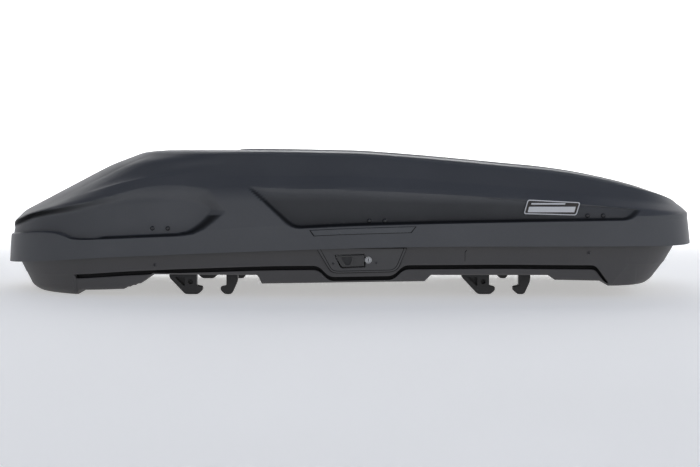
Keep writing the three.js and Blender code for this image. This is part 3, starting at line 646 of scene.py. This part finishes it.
RIM_INSET = 10.0
BASE_NOSE, BASE_TAIL = NOSE + RIM_INSET, TAIL - RIM_INSET - 1
NOSE_BLEND, TAIL_BLEND = -815.0, 830.0
FLOOR_POINTS = [(-804, 1.5), (-800, 14), (-662, 22), (-606, 40), (-561, 74), (-272, 74), (-256, 41),
                (216, 48), (243, 74), (562, 74), (594, 52), (728, 49), (748, 35), (880, 35)]
floor_line = broken(FLOOR_POINTS)


RIBS_FRONT, RIBS_REAR = -656.0, -566.0
RIB_PITCH, RIB_HEIGHT = 15.0, 2.2


def floor_z(x):
    """The ramp in front of the first channel carries cross ribs."""
    wave = np.abs(np.sin((x - RIBS_FRONT) * math.pi / RIB_PITCH))
    return floor_line(x) + RIB_HEIGHT * wave * ((x > RIBS_FRONT) & (x < RIBS_REAR))


def lip_z(x):
    """Along the side walls a lip hangs below each channel's roof."""
    return np.minimum(floor_z(x), 66.0)


# The groove dips round the latch panel and drops to the floor behind the rear bulge.
groove_line = rounded([(-900, 56), (-809, 62), (-658, 74.5), (-490, 84), (-235, 93.5), (-92, 94.5), (-60, 62),
                       (124, 65), (156, 96), (448, 98), (709, 95.5), (749, 42), (758, 42), (805, 97),
                       (900, 97)],
                      [0, 0, 30, 60, 60, 16, 16, 16, 16, 60, 12, 0, 0, 0, 0], 6, closed=False)
groove_z = broken(groove_line)
GROOVE_FRONT, GROOVE_REAR = -811.0, 741.0
FRONT_FADE, REAR_FADE = 5.0, 8.0
GROOVE_HEIGHT = 12.0


def groove_share(x):
    return smooth((x - GROOVE_FRONT) / FRONT_FADE) * (1 - smooth((x - GROOVE_REAR) / REAR_FADE))


def corner_height(x):
    """The bottom corner is softer on the bulges at both ends."""
    return np.where((x < NOSE_BLEND) | (x > TAIL_BLEND), 12.0, 4.0)


def base_ring(nose, tail, half, level):
    """Between the blends a station keeps its place; the ends follow the ring."""
    x = BASE_STATIONS.copy()
    low, high = x < NOSE_BLEND, x > TAIL_BLEND
    x[low] = NOSE_BLEND + (x[low] - NOSE_BLEND) * (NOSE_BLEND - nose) / (NOSE_BLEND - BASE_NOSE)
    x[high] = TAIL_BLEND + (x[high] - TAIL_BLEND) * (tail - TAIL_BLEND) / (BASE_TAIL - TAIL_BLEND)
    z = level(x)
    return np.stack([x, -half_width(x, nose, tail, half), z], 1)


GROOVE_STATIONS = [GROOVE_FRONT + 2, GROOVE_FRONT + FRONT_FADE, GROOVE_REAR, GROOVE_REAR + REAR_FADE]
_shares = station_shares(BASE_NOSE, BASE_TAIL, 4.0, 50, 34,
                         [NOSE_BLEND, TAIL_BLEND] + [p[0] for p in FLOOR_POINTS] + GROOVE_STATIONS)
BASE_STATIONS = BASE_NOSE + _shares * (BASE_TAIL - BASE_NOSE)


def tucked(half, depth):
    """A half width that steps in where the groove runs."""
    return lambda x: half - depth * groove_share(x)


def lower_groove(x):
    g = groove_share(x)
    return np.maximum(groove_z(x) - GROOVE_HEIGHT * g - 0.5, lip_z(x) + corner_height(x) + 1)


def upper_groove(x):
    return np.maximum(groove_z(x), floor_z(x) + corner_height(x) + 2.5)


BASE_KEYS = [
    base_ring(BASE_NOSE, BASE_TAIL, 410, lambda x: parting_z(x) + 13),
    base_ring(BASE_NOSE, BASE_TAIL, 410, lambda x: parting_z(x) + 2.5),
    base_ring(-1026, 992, 400, lambda x: parting_z(x) + 2.5),
    base_ring(-1023, 987, 398.5, lambda x: parting_z(x) - 4),
    base_ring(-1009.5, 958, 396.5, lambda x: upper_groove(x) + 2),
    base_ring(-1009, 957.5, tucked(396, 1), upper_groove),
    base_ring(-1008.6, 957, tucked(395.5, 26), lambda x: upper_groove(x) - 0.5),
    base_ring(-1008, 956.5, tucked(395, 26), lambda x: lower_groove(x) + 0.5),
    base_ring(-1007.5, 956, tucked(394.5, 8), lower_groove),
    base_ring(-986, 918, tucked(391, 8), lambda x: lip_z(x) + corner_height(x)),
    base_ring(-966, 902, tucked(384, 8), lip_z),
    base_ring(-962, 898, tucked(374, 8), lip_z),
    base_ring(-960, 896, tucked(368, 8), floor_z),
    base_ring(-935, 876, 300, floor_z),
    base_ring(-900, 850, 0.0001, floor_z),
]
BASE_REACH = [0, 1.5, 1.5, 2, 0, 1.5, 1.5, 1.5, 2, 9, 5, 3, 3, 0, 0]
BASE_STRAIGHT = [3, 2, 2, 12, 1, 4, 3, 3, 7, 4, 2, 2, 6, 8]
GROOVE_TOP_KEY, GROOVE_LOW_KEY = 5, 8
BASE_WALL = 6.5
base_rows, base_marks = fillet_rows(BASE_KEYS, BASE_REACH, BASE_STRAIGHT, arc=3)
base_side = wall_reader(base_rows[:base_marks[GROOVE_TOP_KEY]])

BASE_INNER = [
    base_ring(BASE_NOSE + 4, BASE_TAIL - 4, 406, lambda x: parting_z(x) + 13),
    base_ring(BASE_NOSE + 4, BASE_TAIL - 4, 406, lambda x: parting_z(x) + BASE_WALL),
    base_ring(-1019, 985, 393.5, lambda x: parting_z(x) + BASE_WALL),
    base_ring(-1000, 948, tucked(390, 26), lambda x: np.maximum(groove_z(x) + 5, floor_z(x) + 18)),
    base_ring(-958, 892, tucked(376, 12), lambda x: floor_line(x) + BASE_WALL),
    base_ring(-931, 872, 296, lambda x: floor_line(x) + BASE_WALL),
    base_ring(-900, 850, 0.0001, lambda x: floor_line(x) + BASE_WALL),
]
base_inner, _ = fillet_rows(BASE_INNER, [0, 1.5, 2, 12, 14, 0, 0], [2, 2, 6, 6, 4, 8], arc=3)


def paint_groove_shade(obj):
    """Paints shade into the groove: its faces on both sides get the near-black material."""
    obj.data.materials.append(SHADE_AND_JOINT_BLACK)
    columns, strips = len(BASE_STATIONS) - 1, 2 * len(base_rows) - 2
    top, low = base_marks[GROOVE_TOP_KEY] + 2, base_marks[GROOVE_LOW_KEY]
    for i in range(strips * columns):
        row, column = divmod(i, columns)
        if top <= row < low or top <= strips - 1 - row < low:
            in_groove = GROOVE_FRONT + 2 < BASE_STATIONS[column] < GROOVE_REAR + 5
            obj.data.polygons[i].material_index = int(in_groove)


def open_window(obj):
    """Takes both skins away behind the paddle; a frame covers the edges of the hole."""
    work = bmesh.new()
    work.from_mesh(obj.data)
    gone = []
    for face in work.faces:
        x, y, z = np.array(face.calc_center_median()) * 1000 - SHIFT
        if -52 < x < 70 and 88 < z < 130 and y < -370:
            gone.append(face)
    bmesh.ops.delete(work, geom=gone, context="FACES")
    work.to_mesh(obj.data)
    work.free()


base = shell_object("base", base_rows, base_inner, BASE_PLASTIC, flipped=True)
paint_groove_shade(base)
open_window(base)
weld(base, WELD_SHELL, SHELL_ANGLE)
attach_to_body(base, "base")
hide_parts("base_shell")


# ---------------------------------------------------------------- flat moulded pieces

def plate(name, loops, thickness, bevel, material, place, segments=3):
    """An outline with holes, pushed out and rounded at its edges. place maps (a, b, c) to the frame,
    where a and b are in the outline and c is 0 at the back and thickness at the front."""
    data = bpy.data.curves.new(name, "CURVE")
    data.dimensions = "2D"
    data.fill_mode = "BOTH"
    data.extrude = max(thickness / 2 - bevel, 1e-4)
    data.bevel_depth = bevel
    data.bevel_resolution = segments
    data.offset = -bevel
    for loop in loops:
        spline = data.splines.new("POLY")
        spline.points.add(len(loop) - 1)
        for point, (a, b) in zip(spline.points, loop):
            point.co = (a, b, 0, 1)
        spline.use_cyclic_u = True
    holder = bpy.data.objects.new(name + "_outline", data)
    scene.collection.objects.link(holder)
    bpy.context.view_layer.update()
    mesh = bpy.data.meshes.new_from_object(holder.evaluated_get(bpy.context.evaluated_depsgraph_get()))
    bpy.data.objects.remove(holder)
    bpy.data.curves.remove(data)
    flat = np.array([v.co for v in mesh.vertices]).reshape(-1, 3)
    moved = world(np.array([place(a, b, c + thickness / 2) for a, b, c in flat]))
    for vertex, co in zip(mesh.vertices, moved):
        vertex.co = co
    mesh.name = name
    obj = bpy.data.objects.new(name, mesh)
    scene.collection.objects.link(obj)
    mesh.materials.clear()
    mesh.materials.append(material)
    weld(obj, 1e-6, 40, face_out=True)
    return obj


def facing_near(y_back):
    """Outline in XZ; the front faces the latch side."""
    return lambda a, b, c: (a, y_back - c, b)


def circle(x, z, radius, count=32):
    return [(x + radius * math.cos(2 * math.pi * k / count), z + radius * math.sin(2 * math.pi * k / count))
            for k in range(count)]


def rectangle(x0, z0, x1, z1):
    return [(x0, z0), (x1, z0), (x1, z1), (x0, z1)]


def lathe(name, profile, centre, axis, material, count, angle=35):
    """A turned piece: profile of (radius, height) along the axis from the centre."""
    axis = np.array(axis, float) / np.linalg.norm(axis)
    other = np.array([0, 0, 1.0]) if abs(axis[2]) < 0.9 else np.array([1.0, 0, 0])
    u = np.cross(axis, other)
    u /= np.linalg.norm(u)
    v = np.cross(axis, u)
    points, faces = [], []
    for r, h in profile:
        for k in range(count):
            t = 2 * math.pi * k / count
            points.append(np.array(centre) + axis * h + (u * math.cos(t) + v * math.sin(t)) * max(r, 1e-3))
    for i in range(len(profile) - 1):
        for k in range(count):
            a, b = i * count + k, i * count + (k + 1) % count
            faces.append((a, b, b + count, a + count))
    obj = make_object(name, points, faces, material)
    weld(obj, 5e-6, angle, face_out=True)
    return obj


def dome(radius, height, foot=-2.0):
    """A pan head: straight foot, rounded shoulder, domed top."""
    profile = [(radius * 0.7, foot), (radius, foot), (radius, height * 0.15)]
    for k in range(1, 7):
        t = k / 6 * math.pi / 2
        profile.append((radius * math.cos(t), height * (0.15 + 0.85 * math.sin(t))))
    return profile


def attach(piece, body, node):
    """Ties a piece to its body and hides the CAD node it stands for, if any."""
    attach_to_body(piece, body)
    if node:
        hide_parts(node)


# Latch panel
BEZEL_ARCS = [3, 12, 8, 10, 10, 8, 12, 3]
BEZEL = rounded([(-97, 147), (-62, 90), (-54, 79), (-40, 75), (120, 78.5), (133, 84), (141, 94), (163, 146)],
                BEZEL_ARCS, 5)
PADDLE_WINDOW = rounded([(-46, 126.5), (43.5, 129.5), (44, 91), (-26, 88)], [4, 3, 3, 6], 4)
PADDLE = rounded([(-42.4, 123.6), (40.4, 126.4), (41.0, 94.2), (-23.9, 91.5)], [4, 2.5, 2.5, 6], 4)
LOCK_X, LOCK_Z = 53.0, 112.0
bezel = plate("latch_panel", [BEZEL, PADDLE_WINDOW, circle(LOCK_X, LOCK_Z, 8.6)], 5.6, 1.4, BEZEL_PLASTIC,
              facing_near(-398.4))
attach(bezel, "base", "latch_bezel")
INNER_LINE = rounded([(-85.5, 145.2), (-56, 92), (-50, 84), (-38, 80.5), (118, 84), (128, 88.5), (135, 97),
                      (154.6, 145.2)], BEZEL_ARCS, 5)
INNER_EDGE = rounded([(-88, 146.6), (-57.8, 91), (-51.2, 82.4), (-38.4, 78.8), (118.5, 82.3), (129.2, 87.2),
                      (136.8, 96.4), (157, 146.6)], BEZEL_ARCS, 5)
bead = plate("latch_panel_bead", [INNER_EDGE, INNER_LINE], 0.9, 0.3, SHADE_AND_JOINT_BLACK, facing_near(-403.4))
attach(bead, "base", None)

SCOOP_ARCS = [5, 4, 4, 5, 4]
SCOOP = rounded([(-26, 120.5), (5, 121), (10, 114), (1.5, 98), (-13, 97.5)], SCOOP_ARCS, 5)
SCOOP_FLOOR = rounded([(-30, 122.5), (8, 123), (13, 114), (4, 95), (-16, 94.5)], SCOOP_ARCS, 5)
paddle = plate("paddle", [PADDLE, SCOOP], 5.6, 1.2, PADDLE_PLASTIC, facing_near(-398.6))
attach(paddle, "paddle", "paddle_handle")
scoop = plate("paddle_scoop", [SCOOP_FLOOR], 2.4, 0.5, TRIM_PLASTIC, facing_near(-399.2))
attach(scoop, "paddle", None)
GRIP_LIP = rounded([(2.5, 121.2), (7.5, 121.2), (12, 114), (4, 97.6), (-1.5, 97.6), (6.5, 114)],
                   [1, 1, 3, 1, 1, 3], 4)
lip = plate("paddle_lip", [GRIP_LIP], 2.2, 0.8, PADDLE_PLASTIC, facing_near(-403.0))
attach(lip, "paddle", None)
arm = plate("paddle_arm", [rounded(rectangle(30, 104, 36, 116), 1, 2)], 21, 0.5, TRIM_PLASTIC,
            facing_near(-377))
attach(arm, "paddle", None)

BEZEL_SEAT = rounded([(-99, 148), (-64, 89), (-55.5, 77), (-40.5, 73), (120.5, 76.5), (134.5, 82), (143, 93),
                      (165, 148)], BEZEL_ARCS, 5)
WINDOW_HOLE = rounded(rectangle(-50, 129, 68, 89), 4, 4)
WINDOW_RIM = rounded(rectangle(-58, 136, 76, 82), 4, 4)
window = plate("latch_window_frame", [WINDOW_RIM, WINDOW_HOLE], 23.6, 0.6, SHADE_AND_JOINT_BLACK,
               facing_near(-374.5))
attach(window, "base", None)
# The seat is near-black and shows as a rim round the bezel: painted shade under its edge.
seat = plate("latch_panel_seat", [BEZEL_SEAT, WINDOW_HOLE], 1.4, 0.3, SHADE_AND_JOINT_BLACK, facing_near(-397.4))
attach(seat, "base", None)

# Lock
RING_PROFILE = [(8.1, 0), (9.8, 0), (9.8, 0.9), (9.3, 1.6), (8.6, 1.6), (8.1, 1.0), (8.1, 0)]
lock_ring = lathe("lock_surround", RING_PROFILE,
                  (LOCK_X, -404.1, LOCK_Z), (0, -1, 0), CHROME, 48)
attach(lock_ring, "base", "lock_ring")
lock_face = lathe("lock_cylinder_face", [(6, -32), (6, -6.5), (7.7, -6), (7.7, -0.2), (7.2, 0.5), (0, 0.5)],
                  (LOCK_X, -404, LOCK_Z), (0, -1, 0), STEEL, 48)
attach(lock_face, "lock", "lock_cylinder")
# Painted shade: the keyway is a near-black plate on the cylinder's face, not a slot.
KEYWAY = rounded(rectangle(LOCK_X - 1.1, LOCK_Z - 4.6, LOCK_X + 1.1, LOCK_Z + 4.6), 0.9, 3)
keyway = plate("lock_keyway", [KEYWAY], 0.5, 0.15, SHADE_AND_JOINT_BLACK, facing_near(-404.4))
attach(keyway, "lock", None)
CAM = rounded(rectangle(LOCK_X - 4, LOCK_Z - 4, LOCK_X + 15, LOCK_Z + 4), 2.5, 4)
cam = plate("lock_cam", [CAM], 3, 0.4, STEEL, facing_near(-369.5))
attach(cam, "lock", None)

# Screws
def screw(name, x, y, z, radius, body, node):
    """A domed head with a cross slot, painted as two near-black bars of shade."""
    height = radius * 0.45
    head = lathe(name, dome(radius, height), (x, y, z), (0, -1, 0), DARK_METAL, 32)
    attach(head, body, node)
    long, short = radius * 0.62, radius * 0.13
    for i, (a, b) in enumerate([(long, short), (short, long)]):
        mark = plate(f"{name}_slot_{i}", [rectangle(x - a, z - b, x + a, z + b)], 0.5, 0.05, SHADE_AND_JOINT_BLACK,
                     facing_near(y - height + 0.2), 1)
        attach(mark, body, None)


screw("panel_screw_front", -48, -404.2, 101, 3.6, "base", "bezel_screw_front")
screw("panel_screw_rear", 76, -404.2, 103, 3.6, "base", "bezel_screw_rear")
for end, (x, z) in {"front": (-566, 94), "rear": (689, 131)}.items():
    screw(f"base_screw_{end}", x, -base_side(x, z) - 0.6, z, 5.0, "base", f"side_screw_{end}")

# A fine seam in the wall behind the latch
SEAM = rounded([(331, 108), (332.2, 108), (332.2, 133), (337, 140), (336, 141.5), (331, 135)], 0.4, 2)
seam = plate("base_seam", [SEAM], 1.0, 0.1, SHADE_AND_JOINT_BLACK,
             lambda a, b, c: (a, -base_side(a, b) + 0.7 - c, b))
attach(seam, "base", None)

# Rivets of the strikers, one pair at each latch; each pair leans with the wall
RIVETS = {"front": (-551, 201), "middle": (78, 224), "rear": (707, 239)}
RIVET_GAP = 45.0
for latch, (latch_x, z) in RIVETS.items():
    for mark, x in (("a", latch_x - RIVET_GAP / 2), ("b", latch_x + RIVET_GAP / 2)):
        slope = (lid_side(x, z + 10) - lid_side(x, z + 3)) / 7
        wall = lid_side(x, z + 5) - 5 * slope + (1.2 if latch == "middle" else 0.3)
        head = lathe(f"lid_rivet_{latch}_{mark}", dome(6.6, 4.4, -3), (x, -wall, z), (0, -1, slope),
                     RIVET_PLASTIC, 32, 50)
        attach(head, "lid", f"rivet_{latch}_{mark}")

# Satin grip strip on the skirt, under the rear recess
def on_skirt(gap):
    """Outline in X and the distance below the skirt's top, laid on the lid's wall."""
    def place(a, b, c):
        z = skirt_top_z(a) - 6 - b
        return (a, -lid_side(a, z) - gap - c, z)

    return place


def strip_points(x0, x1, x2, x3, depth):
    """Top edge from x0 to x1 and low edge from x2 back to x3, in steps that follow the wall."""
    top = [(float(x), 0.0) for x in np.linspace(x0, x1, 26)]
    low = [(float(x), depth) for x in np.linspace(x2, x3, 26)]
    return top + low


grip = plate("grip_strip", [strip_points(-113, 187, 174, -102, 15.5)], 2.4, 0.9, GRIP_PLASTIC, on_skirt(-0.4))
attach(grip, "lid", "grip_trim")
strip_seat = plate("grip_strip_seat", [strip_points(-117, 191, 176.5, -104.5, 18.2)], 1.0, 0.3,
                   SHADE_AND_JOINT_BLACK, lambda a, b, c: on_skirt(-0.5)(a, b - 1, c))
attach(strip_seat, "lid", None)

# Plain slanted badge in the rear recess: a dark field, a rim and two bare stripes
X0, X1, Z0, Z1, SLANT = 500.0, 664.0, 240.0, 286.0, 12.0
LEAN_RISE = Z1 - 14 - Z0
badge_low = max(lid_side(X0, Z0), lid_side(X1, Z0))
badge_high = max(lid_side(X0, Z0 + LEAN_RISE), lid_side(X1, Z0 + LEAN_RISE))
BADGE_LEAN = (badge_high - badge_low) / LEAN_RISE


def on_badge(gap):
    """Outline in XZ on the badge's leaning plane."""
    return lambda a, b, c: (a, -(badge_low + BADGE_LEAN * (b - Z0)) - gap - c, b)


BADGE = rounded([(X0, Z0 + 4), (X1 - SLANT, Z0), (X1, Z1 - 8), (X0 + SLANT, Z1)], 7, 5)
BADGE_IN = rounded([(X0 + 3.4, Z0 + 7), (X1 - SLANT - 2.2, Z0 + 3.2), (X1 - 3.8, Z1 - 10.6),
                    (X0 + SLANT + 2, Z1 - 3.2)], 5, 5)
badge = plate("badge_field", [BADGE], 2.0, 0.6, BADGE_DARK, on_badge(0.6))
attach(badge, "lid", "badge_plate")
rim = plate("badge_rim", [BADGE, BADGE_IN], 1.2, 0.4, BADGE_LIGHT, on_badge(2.2))
attach(rim, "lid", None)
STRIPES = [(0.07, 0.82, 0.2, 0.55), (0.13, 0.6, 0.68, 0.78)]     # left, width, low, high: shares of the badge
for i, (left, width, low, high) in enumerate(STRIPES):
    a0, a1 = X0 + left * (X1 - X0), X0 + (left + width) * (X1 - X0)
    b0, b1 = Z0 + low * (Z1 - Z0), Z0 + high * (Z1 - Z0)
    lean = SLANT * (high - low)
    bar = plate(f"badge_bar_{i}", [rounded([(a0, b0), (a1, b0), (a1 + lean, b1), (a0 + lean, b1)], 2, 3)],
                1.0, 0.3, BADGE_LIGHT, on_badge(2.2))
    attach(bar, "lid", None)

# ---------------------------------------------------------------- clamps

BARS = {"front": -411.0, "rear": 457.0}
SIDES = {"near": -260.0, "far": 260.0}
KNOB_RADIUS, LOBE_HEIGHT, LOBES = 29.0, 4.0, 5
KNOB_Z = 92.0
CAP_PROFILE = [(18, -2), (18, 4.5), (16.5, 6), (11, 6), (10, 5), (0, 5)]
STEM_PROFILE = [(0, -22), (5.2, -22), (5.2, 0), (12, 0), (12, 5), (14, 6.5), (14, 8), (0, 8)]


def centred(y, width):
    """Outline in XZ; the thickness lies evenly about y."""
    return lambda a, b, c: (a, y - width / 2 + c, b)


def clamp_body(tag, x, y):
    """The plate under the floor, with its fixed jaw and the pad that rests on the crossbar."""
    body = plate(f"clamp_body_{tag}", [rounded(rectangle(x - 118, 61, x + 78, 73.6), 4, 4)], 40, 1.6,
                 TRIM_PLASTIC, centred(y, 40))
    attach(body, "base", f"clamp_plate_{tag}")
    outline = rounded([(x + 44, 62), (x + 44, 26), (x + 27, 22), (x + 27, 12), (x + 40, 0), (x + 60, 0),
                       (x + 78, 40), (x + 78, 62)], [0, 4, 3, 4, 6, 8, 10, 0], 4)
    fixed = plate(f"clamp_fixed_jaw_{tag}", [outline], 32, 1.4, TRIM_PLASTIC, centred(y, 32))
    attach(fixed, "base", None)
    pad = plate(f"clamp_seat_pad_{tag}", [rounded(rectangle(x - 20, 57, x + 20, 62), 1.5, 3)], 36, 1.0,
                KNOB_PLASTIC, centred(y, 36))
    attach(pad, "base", None)


def clamp_jaw(tag, x, y):
    """The moving jaw, lightened by a hole and a corner pocket, with a web along its middle."""
    outline = rounded([(x - 125, 60.4), (x - 125, 50), (x - 78, 0), (x - 40, 0), (x - 27, 12), (x - 27, 22),
                       (x - 44, 26), (x - 44, 60.4)], [3, 8, 8, 6, 4, 3, 4, 3], 4)
    pocket = rounded([(x - 108, 51), (x - 80, 51), (x - 80, 24)], 3, 3)
    jaw = plate(f"clamp_jaw_piece_{tag}", [outline, circle(x - 62, 38, 7, 24), pocket], 32, 1.2, TRIM_PLASTIC,
                centred(y, 32))
    attach(jaw, f"jaw_{tag}", f"clamp_jaw_{tag}")
    outline = rounded([(x - 120, 57), (x - 119, 51), (x - 77, 5), (x - 48, 5), (x - 48, 57)], 3, 3)
    web = plate(f"clamp_jaw_web_{tag}", [outline], 4, 0.6, TRIM_PLASTIC, centred(y, 4))
    attach(web, f"jaw_{tag}", None)


def clamp_knob(tag, x, y):
    """A lobed grip with a cap, and the spindle under it."""
    outline = []
    for turn in np.linspace(0, 2 * math.pi, 90, endpoint=False):
        reach = KNOB_RADIUS + LOBE_HEIGHT * math.cos(LOBES * turn)
        outline.append((x + reach * math.cos(turn), y + reach * math.sin(turn)))
    grip_piece = plate(f"knob_grip_{tag}", [outline], 26, 3.5, KNOB_PLASTIC,
                       lambda a, b, c: (a, b, KNOB_Z + c), 5)
    attach(grip_piece, f"knob_{tag}", f"clamp_knob_{tag}")
    cap = lathe(f"knob_cap_{tag}", CAP_PROFILE, (x, y, KNOB_Z + 26), (0, 0, 1), TRIM_PLASTIC, 48)
    attach(cap, f"knob_{tag}", None)
    stem = lathe(f"knob_stem_{tag}", STEM_PROFILE, (x, y, KNOB_Z - 6), (0, 0, 1), STEEL, 32)
    attach(stem, f"knob_{tag}", None)


for end, bar_x in BARS.items():
    for side, side_y in SIDES.items():
        for make in (clamp_body, clamp_jaw, clamp_knob):
            make(f"{end}_{side}", bar_x, side_y)

# ---------------------------------------------------------------- CAD pieces that keep their shape

KEPT = {"floor_rail_near": ALUMINIUM, "floor_rail_far": ALUMINIUM, "lock_rod": STEEL}
for latch in RIVETS:
    for part in ("latch_hook", "striker", "hinge_base_leaf", "hinge_lid_leaf", "hinge_pin"):
        KEPT[f"{part}_{latch}"] = STEEL
    KEPT[f"hook_housing_{latch}"] = TRIM_PLASTIC
for end in BARS:
    KEPT[f"strut_tube_{end}"] = BLACK_METAL
    KEPT[f"strut_rod_{end}"] = CHROME
    KEPT[f"strut_base_bracket_{end}"] = STEEL
    KEPT[f"strut_lid_bracket_{end}"] = STEEL
for name, material in KEPT.items():
    node = frame["nodes"][name]
    node.data.materials.clear()
    node.data.materials.append(material)

# ---------------------------------------------------------------- floor, light, camera

FLOOR_HALF, BEND_START, BEND_RADIUS = 11.0, 3.2, 2.2


def stage_surface():
    """A pale, faintly lit floor that curves up into a backdrop behind the object."""
    profile = [(-9.0, 0.0), (BEND_START, 0.0)]
    for k in range(1, 13):
        t = k / 12 * math.pi / 2
        profile.append((BEND_START + BEND_RADIUS * math.sin(t), BEND_RADIUS - BEND_RADIUS * math.cos(t)))
    profile.append((BEND_START + BEND_RADIUS, 7.0))
    vertices, faces = [], []
    for y, z in profile:
        for x in (-FLOOR_HALF, FLOOR_HALF):
            vertices.append((x, y, z))
    for i in range(len(profile) - 1):
        faces.append((2 * i, 2 * i + 1, 2 * i + 3, 2 * i + 2))
    mesh = bpy.data.meshes.new("studio_floor")
    mesh.from_pydata(vertices, [], faces)
    for polygon in mesh.polygons:
        polygon.use_smooth = True
    obj = bpy.data.objects.new("studio_floor", mesh)
    scene.collection.objects.link(obj)
    material, nodes, links, shader = tree("studio_floor")
    place = add(nodes, "ShaderNodeTexCoord")
    noise = add(nodes, "ShaderNodeTexNoise", Scale=1.5, Detail=3.0)
    links.new(place.outputs["Object"], noise.inputs["Vector"])
    tint = ramp(nodes, [(0.3, grey(0.80)), (0.7, grey(0.84))])
    links.new(noise.outputs["Fac"], tint.inputs["Fac"])
    links.new(tint.outputs["Color"], shader.inputs["Base Color"])
    shader.inputs["Roughness"].default_value = 0.9
    shader.inputs["Specular IOR Level"].default_value = 0.1
    shader.inputs["Emission Color"].default_value = (1.0, 0.995, 0.985, 1)
    shader.inputs["Emission Strength"].default_value = 0.42
    mesh.materials.append(material)


stage_surface()

studio = bpy.data.worlds.new("studio")
scene.world = studio
studio.use_nodes = True
nodes, links = studio.node_tree.nodes, studio.node_tree.links
background = nodes["Background"]
place = add(nodes, "ShaderNodeTexCoord")
split = add(nodes, "ShaderNodeSeparateXYZ")
links.new(place.outputs["Generated"], split.inputs["Vector"])
sky = ramp(nodes, [(0.0, (0.30, 0.29, 0.28)), (0.46, (1.0, 0.98, 0.96)), (0.60, (1.0, 0.99, 0.98)),
                   (0.70, (0.42, 0.46, 0.55)), (0.82, (0.10, 0.135, 0.21)), (1.0, (0.07, 0.095, 0.16))])
span = add(nodes, "ShaderNodeMapRange")
span.inputs["From Min"].default_value, span.inputs["From Max"].default_value = -1.0, 1.0
links.new(split.outputs["Z"], span.inputs["Value"])
links.new(span.outputs["Result"], sky.inputs["Fac"])
links.new(sky.outputs["Color"], background.inputs["Color"])
# The room is darker towards the nose.
side = add(nodes, "ShaderNodeMapRange")
side.inputs["From Min"].default_value, side.inputs["From Max"].default_value = -0.9, 0.0
side.inputs["To Min"].default_value, side.inputs["To Max"].default_value = 0.2, 1.12
links.new(split.outputs["X"], side.inputs["Value"])
links.new(side.outputs["Result"], background.inputs["Strength"])


wash_data = bpy.data.lights.new("backdrop_wash", "AREA")
wash_data.shape = "RECTANGLE"
wash_data.size, wash_data.size_y = 12, 2
wash_data.energy = 380
wash_data.spread = math.radians(130)
wash = bpy.data.objects.new("backdrop_wash", wash_data)
scene.collection.objects.link(wash)
wash.location = (0, BEND_RADIUS, 3.6)
wash_target = Vector((0, BEND_START + BEND_RADIUS, 1.2))
wash.rotation_euler = (wash_target - wash.location).to_track_quat("-Z", "Y").to_euler()

CAMERA_LENS = 77.914               # mm, on a sensor 36 mm wide
CAMERA_DIP = 3.5316                # degrees below level
camera_data = bpy.data.cameras.new("camera")
camera_data.sensor_fit = "HORIZONTAL"
camera_data.sensor_width = 36.0
camera_data.lens = CAMERA_LENS
camera_data.clip_end = 60
camera = bpy.data.objects.new("camera", camera_data)
scene.collection.objects.link(camera)
camera.location = tuple(world([0, -4753, 457]))
camera.rotation_euler = (math.radians(90 - CAMERA_DIP), 0, 0)
scene.camera = camera
scene.view_settings.view_transform = "Standard"
scene.view_settings.look = "None"
